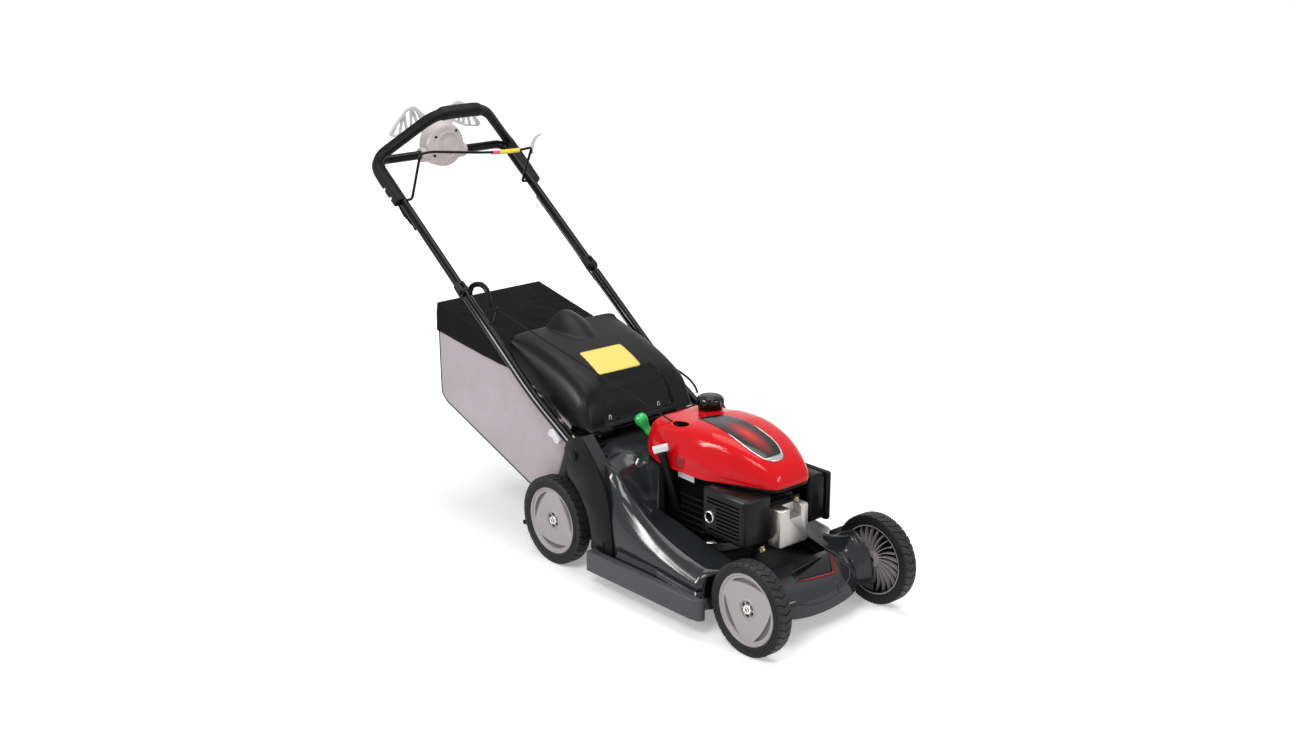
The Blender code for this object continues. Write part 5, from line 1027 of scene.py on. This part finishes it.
def return_spring():
    """Two tight black coils on one wire, the lower one hooked to the hood's rod."""
    x = -0.1985
    top, upper = Vector((x, 0.086, 0.434)), Vector((x, 0.0155, 0.388))
    lower, foot = Vector((x, 0.003, 0.379)), Vector((x, -0.0375, 0.356))
    ahead = (upper - top).normalized()

    def coil(start, end, turns):
        steps = 14
        way = (end - start).normalized()
        side = way.cross(Vector((1, 0, 0))).normalized()
        other = way.cross(side)
        return [
            start.lerp(end, i / (turns * steps))
            + (side * math.cos(math.tau * i / steps) + other * math.sin(math.tau * i / steps)) * 0.0064
            for i in range(turns * steps + 1)
        ]

    path = [top, top + ahead * 0.003] + coil(top + ahead * 0.005, upper, 26)
    path += coil(lower, foot, 15) + [foot + ahead * 0.004, Vector((x, -0.0832, 0.3642))]
    pipe("spring_wire", path, 0.0011, SPRING_BLACK, "deck", 8, stands_for=("return_spring",), slot="steel")
    profile = [(0.002, -0.004), (0.0048, -0.004), (0.0052, 0.008), (0.002, 0.008)]
    fitting = lathe("spring_fitting", profile, "Z", (0, 0), 24, BRASS, None, slot="zinc")
    seat(fitting, "deck", foot + ahead * 0.006, ahead)


def starter_grip():
    """The loop that the hand pulls."""
    x, y, z = GRIP_PLACE
    offsets = ((-0.014, -0.009), (-0.013, 0.012), (-0.006, 0.033), (0.008, 0.043), (0.024, 0.0455), (0.046, 0.041),
               (0.062, 0.032), (0.071, 0.018), (0.074, -0.002))
    path = spline([(x, y + a, z + b) for a, b in offsets], 6)
    pipe("grip_loop", path, 0.0074, SATIN_BLACK, "starter_grip", 20, stands_for=("starter_grip",))


# The deck

DECK_RIM = (
    (-0.742, 0.085), (-0.736, 0.1), (-0.722, 0.113), (-0.7, 0.122), (-0.655, 0.135),
    (-0.632, 0.138), (-0.552, 0.156), (-0.466, 0.174), (-0.366, 0.196), (-0.31, 0.206),
    (-0.27, 0.226), (-0.235, 0.27), (-0.205, 0.312), (-0.166, 0.326), (-0.1, 0.335),
)
DECK_SHOULDER = (
    (-0.742, 0.085), (-0.736, 0.116), (-0.722, 0.145), (-0.7, 0.164), (-0.672, 0.177),
    (-0.641, 0.166), (-0.586, 0.141), (-0.545, 0.128), (-0.45, 0.14), (-0.35, 0.17),
    (-0.27, 0.225), (-0.215, 0.27), (-0.166, 0.294), (-0.15, 0.297), (-0.1, 0.301),
)
DECK_RIDGE = (
    (-0.742, 0.085), (-0.736, 0.114), (-0.722, 0.142), (-0.7, 0.161), (-0.672, 0.174),
    (-0.641, 0.165), (-0.6, 0.156), (-0.56, 0.155), (-0.508, 0.161), (-0.44, 0.176),
    (-0.37, 0.199), (-0.3, 0.234), (-0.262, 0.262), (-0.232, 0.293), (-0.205, 0.312),
    (-0.166, 0.32), (-0.1, 0.328),
)
DECK_PLATEAU = ((-0.26, 0.322), (-0.205, 0.324), (-0.166, 0.329), (-0.1, 0.338))
NOSE_BACK = ((0.0, 0.0), (0.09, 0.0015), (0.131, 0.012), (0.15, 0.034), (0.17, 0.017), (0.18, 0.008))


def deck_half(y):
    """The deck's section at y, from its middle out to the hem."""
    rim, shoulder, ridge = (smooth_at(line, y) for line in (DECK_RIM, DECK_SHOULDER, DECK_RIDGE))
    inner, edge = 0.118, rim - 0.003
    if y > -0.291:
        inner, edge = 0.101, smooth_at(DECK_PLATEAU, y)
    floor = 0.125 if -0.632 < y <= -0.26 else edge if y > -0.291 else rim
    ends = (-0.586, -0.545, -0.166, -0.15)
    outer = smooth_at(tuple(zip(ends, (0.188, 0.2355, 0.2355, 0.184))), y)
    foot = smooth_at(tuple(zip(ends, (0.19, 0.243, 0.243, 0.19))), y)
    if y > -0.258:
        foot = min(foot, 0.2355)
    hem = smooth_at(((-0.7, 0.045), (-0.586, 0.06)), y)
    low = min(0.105, (shoulder + hem) / 2)
    nose = step(-0.586, -0.64, y)
    bend_x = 0.131
    width = outer - bend_x
    fall = ridge - low
    bend = [
        (bend_x, rim), (bend_x + width * 0.3, rim + (ridge - rim) * 0.34 - 0.003 * (1 - nose)),
        (bend_x + width * 0.6, ridge - 0.001), (bend_x + width * 0.7, ridge),
        (bend_x + width * 0.84, (ridge - fall * 0.1) * (1 - nose) + (shoulder + 0.009) * nose),
        (bend_x + width * 0.945, (ridge - fall * 0.27) * (1 - nose) + (shoulder + 0.001) * nose),
        (outer + 0.0035 * (1 - nose), (ridge - fall * 0.52) * (1 - nose) + (shoulder - 0.008) * nose),
        (outer + 0.0035 * (1 - nose), (ridge - fall * 0.76) * (1 - nose) + (shoulder * 0.5 + low * 0.5) * nose),
        (outer + 0.001 * (1 - nose), low + 0.01),
        (foot, low),
    ]
    curve = [(p.x, p.y) for p in spline([(a, b, 0) for a, b in bend], 7)]
    flat = [(inner * k / 6, floor) for k in range(7)]
    lip = [(inner + 0.006, edge), (min(inner + 0.022, 0.127), max(edge - 0.001, rim))]
    return flat + lip + curve + [(foot, low + (hem - low) * k / 3) for k in (1, 2, 3)]


NOSE_CREASES = (
    ((-0.112, 0.098), (-0.07, 0.087), (-0.02, 0.0765), (0.02, 0.074), (0.05, 0.08),
     (0.075, 0.09), (0.105, 0.106), (0.128, 0.118)),
    ((0.0525, 0.079), (0.0515, 0.09), (0.052, 0.1), (0.054, 0.108)),
)
BADGE = ((-0.04, -0.664), (0.118, -0.641), (0.068, -0.704), (-0.044, -0.691))
BADGE_EDGE = (
    (-0.05, -0.6935), (0.000, -0.703), (0.06, -0.71), (0.076, -0.706), (0.098, -0.676), (0.122, -0.643),
)
BORE = (0, -0.365)
DECK_FRONT = (0, 0.15, -1)


def both_halves(half):
    """A section from one hem to the other."""
    return [(-x, z) for x, z in half[:0:-1]] + half


def deck_body(stations):
    """The moulded grey deck with its fenders, the engine's bore and the hole of the chute."""
    points = []
    for y in stations:
        row = both_halves(deck_half(y))
        bend = step(-0.655, -0.742, y)
        points += [(x, y + smooth_at(NOSE_BACK, abs(x)) * bend, z) for x, z in row]
    count = len(row)
    faces = grid_faces(len(stations), count)
    points += [(x, y, min(z, 0.047 + 1.1 * x * x)) for x, y, z in points[-count:]]
    faces += grid_faces(2, count, start=(len(stations) - 1) * count)
    obj = piece("deck_body", points, faces, DECK_GREY, "deck", ("deck_shell",), 40)
    face_up(obj)
    thick(obj, 0.004, even=False)
    slot = [(-0.0415, -0.182), (-0.0145, -0.182), (-0.0145, -0.16), (-0.0415, -0.16)]
    return carve(obj, [
        prism("cutter", ring_points(0.034, BORE, 40), 0.09, 0.16, "Z"), prism("cutter", slot, 0.28, 0.36, "Z"),
    ])


def bay_shade_liner(stations):
    """A black sheet over the floor and walls of the engine's bay: painted shade under the engine and its cover."""
    rows = [y for y in stations if -0.6315 < y < -0.295]
    points = [(x, y, z) for y in rows for x, z in both_halves(deck_half(y)[:9])]
    obj = piece("bay_shade_liner", points, grid_faces(len(rows), 17), BAY_SHADE_BLACK, "deck", sharp=40)
    face_up(obj)
    thick(obj, 0.0009, 1.0, False)
    carve(obj, [prism("cutter", ring_points(0.0345, BORE, 40), 0.09, 0.16, "Z")])


def tower_box(side, hand):
    """The grey casing over the foot of a handle tube, and a black band as the arch ahead of a front wheel: painted
    shade where the wheel's well is dark.
    """
    outline = [(-0.204, 0.27), (-0.192, 0.294), (-0.177, 0.3157), (-0.157, 0.338), (-0.135, 0.359),
               (-0.1156, 0.379), (-0.1125, 0.379), (-0.1125, 0.306), (-0.158, 0.284), (-0.196, 0.262)]
    box = prism(f"tower_box_{hand}", outline, *on_side(side, 0.192, 0.2355), "X", DECK_GREY, "deck")
    room = [(-0.156, 0.33), (-0.133, 0.3535), (-0.119, 0.368), (-0.1, 0.368), (-0.1, 0.29), (-0.156, 0.27)]
    carve(box, [prism("cutter", room, *on_side(side, 0.196, 0.2315), "X")])
    soften(box, 0.0014, 30)
    # A black band by the wheel on the grey deck: painted shade
    band = wedge(FRONT_AXLE, 0.13, 0.1335, math.radians(-6), math.radians(19), 14)
    prism(f"arch_{hand}", band, *on_side(side, 0.186, 0.2445), "X", SATIN_BLACK, "deck", (0.0008, 40))


def deck():
    """The deck with its bay, casings, creases and badge, and the engine's base."""
    stations = spread(-0.1, -0.254, 40) + [-0.257, -0.26] + spread(-0.264, -0.288, 7) + [-0.291]
    stations += spread(-0.296, -0.622, 72) + [-0.626, -0.632] + spread(-0.636, -0.742, 44)
    obj = deck_body(stations)
    # A black sheet over the grey bay: painted shade
    bay_shade_liner(stations)
    for side, hand in SIDES:
        tower_box(side, hand)
    for i, line in enumerate(NOSE_CREASES):
        ribbon(
            f"nose_crease_{i + 1}", spline([(x, -0.1, z) for x, z in line], 8), (0, -1, 0),
            lambda q: (q.x, -1.0, q.z), (0, 1, 0), lambda p, i: 0.0009,
            ((-1.0, (0, 0, 0)), (0.0, (0, -0.0009, 0)), (1.0, (0, 0, 0))), obj, DECK_GREY, 0.0005,
        )
    profile = [(0.034, 0.1258), (0.1, 0.1258), (0.1025, 0.1285), (0.1025, 0.148), (0.0985, 0.153),
               (0.093, 0.155), (0.06, 0.158), (0.034, 0.158)]
    lathe("base_flange", profile, "Z", BORE, 96, STEEL, "deck", slot="cast_metal")
    badge = [Vector((x, y - 0.02, 0.25)) for x, y in rounded(BADGE, 0.006, 4)]
    lay_on("nose_inlay", badge, obj, DECK_FRONT, GLOSS_BLACK, "deck")
    edge = spline([(x, y, 0) for x, y in BADGE_EDGE], 6)
    ribbon(
        "nose_line", edge, (0, 0, -1), lambda q: (q.x, q.y - 0.02, 0.25), DECK_FRONT,
        lambda p, i: 0.0004 + 0.0022 * math.sin(math.pi * i / (len(edge) - 1)) ** 0.6,
        [(share, (0, 0, 0.001)) for share in (-1.0, 0.0, 1.0)], obj, RED_DARK, PLATE,
    )


# The handle's tubes

FOLD_GAP = 0.0225
KNEE_Y = 0.092


SLOPE_WAY, SLOPE_DOWN = Vector((math.cos(SLOPE), math.sin(SLOPE))), Vector((math.sin(SLOPE), -math.cos(SLOPE)))


def fold_plate(name, reach, near, far, body):
    """A rounded lug from a tube's end to the fold axis."""
    axis = Vector(FOLD_AXIS)
    side = Vector((-SLOPE_WAY.y, SLOPE_WAY.x))
    tail = axis + SLOPE_WAY * reach
    face = 1 if reach < 0 else -1
    outline = [tail + side * 0.01 * s for s in (1, -1)]
    for k in range(13):
        turn = math.pi * (k / 12 - 0.5)
        outline.append(axis + SLOPE_WAY * face * 0.0135 * math.cos(turn) + side * 0.0135 * math.sin(turn))
    prism(name, outline, near, far, "X", BLACK_METAL, body, (0.001, 40))


def tubes():
    """Smooth tubes in place of the faceted ones, with the fold joint between them."""
    way = Vector((0, *SLOPE_WAY))
    for side, hand in SIDES:
        x = side * TUBE_X
        foot, knee = Vector((x, -0.1, 0.329)), Vector((x, KNEE_Y, tube_z(KNEE_Y)))
        end = Vector((x, *FOLD_AXIS)) - way * FOLD_GAP
        path = dense(bend_path([foot, knee, end], 0.06, 12), 0.02)
        pipe(f"tube_{hand}", path, TUBE_R, TUBE_BLACK, "deck", 40, stands_for=(f"lower_handle_{hand}",))
        fold_plate(f"fold_tongue_{hand}", -0.0305, x - 0.0035, x + 0.0035, "deck")
        for face in (-1, 1):
            name = f"fold_cheek_{hand}_{'in' if face * side < 0 else 'out'}"
            fold_plate(name, 0.0305, *sorted((x + face * 0.0038, x + face * 0.0125)), "folding_handle")
        half = [(0.0, 0.0185), (0.0052, 0.018), (0.0062, 0.016), (0.0062, 0.013), (0.004, 0.0128)]
        profile = [(r, x - h) for r, h in half] + [(r, x + h) for r, h in reversed(half)]
        lathe(f"fold_pin_{hand}", profile, "X", FOLD_AXIS, 28, BLACK_METAL, "deck", False)
    eye_y = 0.282
    eye = rope_at(eye_y)
    ring = [eye + Vector((a, 0, b)) for a, b in ring_points(0.0063, (0, 0), 28)]
    pipe("rope_eye", ring, 0.0019, BLACK_METAL, "deck", 10, True)
    stem = [(-TUBE_X, eye_y, tube_z(eye_y)), (-TUBE_X + 0.013, eye_y, tube_z(eye_y) - 0.001),
            eye + Vector((-0.005, 0, -0.0045))]
    pipe("rope_eye_stem", spline(stem, 6), 0.0026, BLACK_METAL, "deck", 12)
    right, left = (Vector((side * TUBE_X, *FOLD_AXIS)) + way * FOLD_GAP for side, _ in SIDES)
    corners = [(side * TUBE_X, CROSS_Y, tube_z(CROSS_Y)) for side, _ in SIDES]
    path = dense(bend_path([right, *corners, left], 0.04, 12), 0.02)
    pipe("tube_upper", path, TUBE_R, TUBE_BLACK, "folding_handle", 40, stands_for=("upper_handle",))


def bail_bracket():
    """The ribbed bracket that holds the bail on the right tube."""
    outline = [(0.604, tube_z(0.604) - 0.004), (0.596, tube_z(0.596) - 0.026), (0.607, 0.804), (0.618, 0.806),
               (0.668, 0.842), (0.692, tube_z(0.692) - 0.006)]
    prism("bail_bracket", outline, -TUBE_X - 0.0085, -TUBE_X + 0.006, "X", SATIN_BLACK, "folding_handle",
          (0.0024, 30, 3))
    lows = Vector((0.603, 0.808)), Vector((0.64, 0.823))
    highs = Vector((0.606, tube_z(0.606) - 0.018)), Vector((0.664, tube_z(0.664) - 0.02))
    for k in range(5):
        ends = [Vector((-TUBE_X - 0.0098, *a.lerp(b, k / 4))) for a, b in (lows, highs)]
        pipe(f"bracket_rib_{k + 1}", dense(ends), 0.0015, ROUGH_BLACK, "folding_handle", 8)


def tube_clip():
    """The pale lever under the foot of the right tube."""
    foot = Vector((-0.0483, 0.3576)) + Vector((1, math.tan(SLOPE))) * 0.0193
    corners = ((-0.02, 0.009), (0.018, 0.009), (0.025, 0.018), (0.02, 0.033), (0.011, 0.032), (0.004, 0.026),
               (-0.013, 0.028), (-0.022, 0.021))
    outline = rounded([foot + SLOPE_WAY * a + SLOPE_DOWN * b for a, b in corners], 0.0035, 4)
    prism("tube_clip", outline, -0.243, -0.227, "X", PALE_GREY, "deck", (0.0016, 40))


# What sits on the engine

OUTLET = (-0.494, 0.256)


def engine_trims():
    """The outlet with its throat in painted shade, the ribbed side of the shroud, a bare plate and two bolts."""
    profile = [(0.0118, -0.136), (0.0118, -0.147), (0.0132, -0.1486), (0.015, -0.1478), (0.0162, -0.145),
               (0.0162, -0.142), (0.014, -0.1418), (0.014, -0.136)]
    lathe("outlet_ring", profile, "X", OUTLET, 48, STEEL, "deck", slot="steel")
    # A deep black disc closes the outlet's throat: painted shade
    profile = [(0.0, -0.135), (0.0122, -0.135), (0.0122, -0.139), (0.0, -0.139)]
    lathe("outlet_shade", profile, "X", OUTLET, 32, DEEP_BLACK, "deck", False, slot="black_metal")
    outline = rounded([(-0.294, 0.332), (-0.452, 0.332), (-0.458, 0.3), (-0.455, 0.215), (-0.42, 0.158),
                       (-0.3, 0.158)], 0.012)
    prism("shroud_side", outline, -0.099, -0.09, "X", DEEP_BLACK, "deck", (0.003, 40, 3))
    for k in range(6):
        z = 0.178 + 0.0165 * k
        outline = rounded([(-0.306, z), (-0.432, z), (-0.432, z + 0.004), (-0.306, z + 0.004)], 0.0015, 3)
        prism(f"shroud_rib_{k + 1}", outline, -0.102, -0.0985, "X", BLACK_METAL, "deck", (0.0008, 40),
              slot="black_metal")
    outline = rounded([(-0.333, 0.3045), (-0.333, 0.3215), (-0.391, 0.319), (-0.391, 0.302)], 0.0015, 3)
    prism("bare_plate", outline, -0.1004, -0.0988, "X", PALE_GREY, "deck", (0.0003, 40))
    y = -0.614
    profile = [(0.0, y - 0.009), (0.004, y - 0.0086), (0.0052, y - 0.007), (0.0054, y - 0.003),
               (0.0086, y - 0.0028), (0.009, y), (0.0, y)]
    lathe("cover_bolt_1", profile, "Y", (-0.086, 0.194), 6, BRASS, "deck", False)
    lathe("cover_bolt_2", profile, "Y", (0.028, 0.29), 24, BRASS, "deck", False)


# The handle's loop, housing and bail


def sweep(name, path, outline, up, mat, body, size=None, **more):
    """An outline drawn along a path, its height turned towards one direction."""
    path = [Vector(p) for p in path]
    points, up = [], Vector(up)
    for i, p in enumerate(path):
        ahead = heading(path, i)
        side = ahead.cross(up).normalized()
        high = side.cross(ahead)
        grow = size(p) if size else (1.0, 1.0)
        points += [p + side * a * grow[0] + high * b * grow[1] for a, b in outline]
    count = len(outline)
    last = (len(path) - 1) * count
    faces = grid_faces(len(path), count, True) + [tuple(range(count)), tuple(range(last, last + count))]
    return piece(name, points, faces, mat, body, **more)


def soft_square(half_a, half_b, power=3.4, count=28):
    """The outline of a rectangle with round corners."""
    def swell(c, half):
        return math.copysign(abs(c) ** (2 / power), c) * half
    return [(swell(a, half_a), swell(b, half_b)) for a, b in ring_points(1.0, (0, 0), count)]


def bend_path(corners, radius, steps=8):
    """The chain of corners with each inner corner rounded."""
    corners = [Vector(corner) for corner in corners]
    path = [corners[0]]
    for before, corner, after in zip(corners, corners[1:], corners[2:]):
        start, end = (before - corner).normalized(), (after - corner).normalized()
        reach = min(radius, (before - corner).length / 2.01, (after - corner).length / 2.01)
        for i in range(steps + 1):
            t = i / steps
            path.append(corner + start * reach * (1 - t) ** 2 + end * reach * t * t)
    return path + [corners[-1]]


def dense(path, pitch=0.006):
    """The chain of points with more of them between."""
    out = []
    for a, b in zip(path, path[1:]):
        parts = max(1, round((b - a).length / pitch))
        out += [a.lerp(b, k / parts) for k in range(parts)]
    return out + [path[-1]]


def loop_cover():
    """The moulded loop: sleeves on the tubes, two rising arms and a bar with a pad."""
    up = (0, -math.sin(SLOPE), math.cos(SLOPE))
    x = TUBE_X + 0.012
    foot, elbow = (x, 0.656, tube_z(0.656)), (x + 0.004, 0.78, tube_z(0.78) + 0.004)
    top = (0.084, 0.688, 1.086)
    corners = [(-a, b, c) for a, b, c in (foot, elbow, top)] + [top, elbow, foot]
    path = dense(bend_path(corners, 0.048, 10))

    def size(p):
        slim = step(0.7, 0.78, p.y) if p.z < 0.96 and abs(p.x) > 0.2 else 1.0
        pad = step(0.067, 0.062, abs(p.x))
        return (1.18 - 0.18 * slim + 0.22 * pad, 1.06 - 0.06 * slim + 0.24 * pad)

    sweep("loop_body", path, soft_square(0.0142, 0.0134), up, ROUGH_BLACK, "folding_handle", size,
          stands_for=("loop_cover",), sharp=50)
    profile = [(0.0, -0.2562), (0.0032, -0.256), (0.0044, -0.2548), (0.0046, -0.25), (0.0, -0.25)]
    for i, place in enumerate(((0.7, 0.8935), (0.672, 0.8725))):
        lathe(f"loop_screw_{i + 1}", profile, "X", place, 24, ZINC, "folding_handle", False)


HOUSING_PLACE = (0, 0.981)


def drive_housing():
    """The round housing on the cross tube, its clamps and screws."""
    profile = [
        (0.0, 0.75), (0.019, 0.7496), (0.0215, 0.7504), (0.0225, 0.7524), (0.033, 0.7516), (0.035, 0.75),
        (0.0375, 0.7498), (0.0395, 0.7524), (0.048, 0.7532), (0.056, 0.757), (0.061, 0.7635), (0.0636, 0.772),
        (0.064, 0.784), (0.064, 0.803), (0.061, 0.808), (0.0, 0.808),
    ]
    lathe("housing_shell", profile, "Y", HOUSING_PLACE, 72, HOUSING_GREY, "folding_handle", False,
          stands_for=("drive_housing",), sharp=30)
    for side, hand in SIDES:
        inner, outer = side * 0.048, side * 0.0775
        profile = [(0.0128, inner), (0.0225, inner), (0.0215, outer - side * 0.004), (0.019, outer), (0.0128, outer)]
        lathe(f"housing_clamp_{hand}", profile, "X", (CROSS_Y, tube_z(CROSS_Y)), 36, HOUSING_GREY, "folding_handle")
    profile = [(0.0, 0.7512), (0.0034, 0.7512), (0.0034, 0.76), (0.0, 0.76)]
    for i, place in enumerate(((-0.04, 1.008), (0.03, 1.02), (-0.046, 0.955))):
        lathe(f"housing_screw_{i + 1}", profile, "Y", place, 20, DEEP_BLACK, "folding_handle", False)


def paddles():
    """Thumb paddles with an open web of ribs."""
    outer = [(0.02, 1.012), (0.044, 1.01), (0.06, 1.036), (0.1, 1.018), (0.15, 1.012),
             (0.158, 1.022), (0.134, 1.052), (0.096, 1.09), (0.07, 1.094), (0.034, 1.062)]
    holes = [
        [(0.05, 1.05), (0.06, 1.046), (0.073, 1.084), (0.064, 1.08)],
        [(0.065, 1.043), (0.082, 1.033), (0.078, 1.082)],
        [(0.085, 1.034), (0.096, 1.027), (0.103, 1.075), (0.083, 1.086)],
        [(0.1, 1.026), (0.12, 1.02), (0.108, 1.07)],
        [(0.124, 1.0195), (0.148, 1.0165), (0.129, 1.048), (0.113, 1.064)],
    ]

    def outline(corners, radius, steps):
        return [(side * p.x, p.y) for p in rounded(corners, radius, steps)]

    for side, hand in SIDES:
        obj = prism(f"paddle_web_{hand}", outline(outer, 0.006, 3), 0.8083, 0.8183, "Y", PADDLE_GREY,
                    f"paddle_{hand}", stands_for=(f"paddle_{hand}",))
        carve(obj, [prism("cutter", outline(hole, 0.002, 2), 0.8, 0.83, "Y") for hole in holes])
        soften(obj, 0.0008, 40)


def bail():
    """A thin bent rod with two coloured sleeves."""
    pivot = (0.66, tube_z(0.66))
    reach, x = 0.2102, 0.192
    corners = [(-reach, *pivot), (-x, *pivot), (-x, 0.611, 0.997), (-0.155, 0.6105, 0.9985),
               (0.0, 0.611, 0.978), (0.08, 0.611, 0.97), (0.15, 0.611, 0.968), (x, 0.611, 0.971),
               (x, *pivot), (reach, *pivot)]
    pipe("bail_rod", bend_path(corners, 0.012, 6), 0.0038, TUBE_BLACK, "bail", 14,
         stands_for=("bail",), slot="black_rod")
    bar = ((0.0, 0.978), (0.08, 0.97), (0.15, 0.968))
    for name, ends, mat, radius in (
        ("red", (0.05, 0.075), SLEEVE_RED, 0.0056), ("yellow", (0.076, 0.145), SLEEVE_YELLOW, 0.006),
    ):
        run = [(a, 0.611, smooth_at(bar, a)) for a in spread(*ends, 14)]
        pipe(f"bail_sleeve_{name}", run, radius, mat, "bail", 18)
    lever = [(0.62, 0.95), (0.619, 0.97), (0.609, 0.99), (0.594, 1.004), (0.574, 1.015)]
    path = spline([(0.1993, y, z) for y, z in lever], 6)
    sweep("lever_blade", path, soft_square(0.003, 0.006, 3.0, 20), (0, 0.7, 0.7), PALE_GREY, "bail_lever",
          lambda p: (1.0, 1.0 - 0.45 * step(0.98, 1.015, p.z)), stands_for=("bail_lever",))


# The stage, lights and camera


def area(name, place, target, size, watts, size_y=None):
    """An area light that points at a target."""
    data = bpy.data.lights.new(name, "AREA")
    data.energy = watts
    data.size = size
    if size_y:
        data.shape = "RECTANGLE"
        data.size_y = size_y
    obj = bpy.data.objects.new(name, data)
    bpy.context.scene.collection.objects.link(obj)
    obj.location = place
    obj.rotation_euler = (Vector(target) - Vector(place)).to_track_quat("-Z", "Y").to_euler()
    return obj


def gloss_box(name, place, target, along, long, wide, watts):
    """A tilted strip that shows only as a highlight."""
    obj = area(name, place, target, long, watts, wide)
    back = (Vector(place) - Vector(target)).normalized()
    side = (Vector(along) - back * back.dot(Vector(along))).normalized()
    obj.rotation_euler = Matrix((side, back.cross(side), back)).transposed().to_euler()
    obj.visible_diffuse = False


def camera_sees(tree):
    """1 for what the camera sees itself, in a mirror or through glass, and else 0."""
    rays = node(tree, "LightPath").outputs
    seen = maths(tree, "Math", "MAXIMUM", rays["Is Camera Ray"], rays["Is Transmission Ray"])
    return maths(tree, "Math", "MAXIMUM", seen, rays["Is Glossy Ray"])


def stage():
    """A pale floor that fades to white, and a white world."""
    bpy.ops.mesh.primitive_plane_add(size=60, location=(0, 0, 0))
    floor = bpy.context.object
    floor.name = "floor"
    mat = bpy.data.materials.new("floor")
    mat.use_nodes = True
    tree = mat.node_tree
    tree.nodes.clear()
    away = maths(tree, "VectorMath", "LENGTH", node(tree, "TexCoord").outputs["Object"])
    far = node(tree, "MapRange", Value=away, From_Min=0.9, From_Max=3.2, To_Min=0.3, To_Max=0.8)
    strength = maths(tree, "Math", "MULTIPLY", camera_sees(tree), far.outputs["Result"])
    matt = node(tree, "BsdfDiffuse", Color=(0.86, 0.86, 0.865, 1))
    glow = node(tree, "Emission", Color=(1, 1, 1, 1), Strength=strength)
    both = node(tree, "AddShader")
    for socket, shader in zip(both.inputs, (matt, glow)):
        feed(tree, socket, shader.outputs[0])
    node(tree, "OutputMaterial", Surface=both.outputs[0])
    floor.data.materials.append(mat)
    world = bpy.context.scene.world or bpy.data.worlds.new("world")
    bpy.context.scene.world = world
    world.use_nodes = True
    tree = world.node_tree
    level = node(tree, "MapRange", Value=camera_sees(tree), To_Min=0.42, To_Max=1.0)
    feed(tree, tree.nodes["Background"].inputs["Color"], (1, 1, 1, 1))
    feed(tree, tree.nodes["Background"].inputs["Strength"], level.outputs["Result"])


def lights():
    """Soft lights, and one strip that shows only as a highlight."""
    area("key", (-2.4, -1.6, 3.0), (0, 0, 0.4), 1.2, 60)
    area("top", (0.5, 0.2, 3.4), (0, 0, 0.3), 2.2, 60)
    area("side", (-3.0, 0.9, 1.75), (0, -0.1, 0.3), 1.7, 24, 0.3)
    area("front", (0.9, -3.6, 1.7), (0, -0.3, 0.3), 1.8, 34, 0.35)
    gloss_box("gloss_right", (-3.0, 0.95, 1.8), (-0.1, 0.2, 0.5), (0.205, -0.588, 0.783), 1.9, 0.4, 95)


TARGET, AWAY = (0.09576, 0.0, 0.47775), 4.5809


def camera():
    """The photo's camera."""
    azimuth, elevation = math.radians(-41.6567), math.radians(17.1192)
    flat = math.cos(elevation)
    back = Vector((math.sin(azimuth) * flat, -math.cos(azimuth) * flat, math.sin(elevation)))
    data = bpy.data.cameras.new("camera")
    data.lens, data.sensor_width = 47.678, 36.0
    obj = bpy.data.objects.new("camera", data)
    bpy.context.scene.collection.objects.link(obj)
    obj.location = Vector(TARGET) + back * AWAY
    obj.rotation_euler = (-back).to_track_quat("-Z", "Y").to_euler()
    bpy.context.scene.camera = obj


for make in (
    camera, stage, lights, dress_nodes, starter_rope, control_cables, wheels, bag_sides, bag_belt, bag_lid,
    hood, engine_cover, fuel_cap, dipstick, director_lever, return_spring, starter_grip, loop_cover,
    drive_housing, paddles, bail, deck, tubes, bail_bracket, tube_clip, engine_trims,
):
    make()
bpy.context.scene.view_settings.view_transform = "Standard"
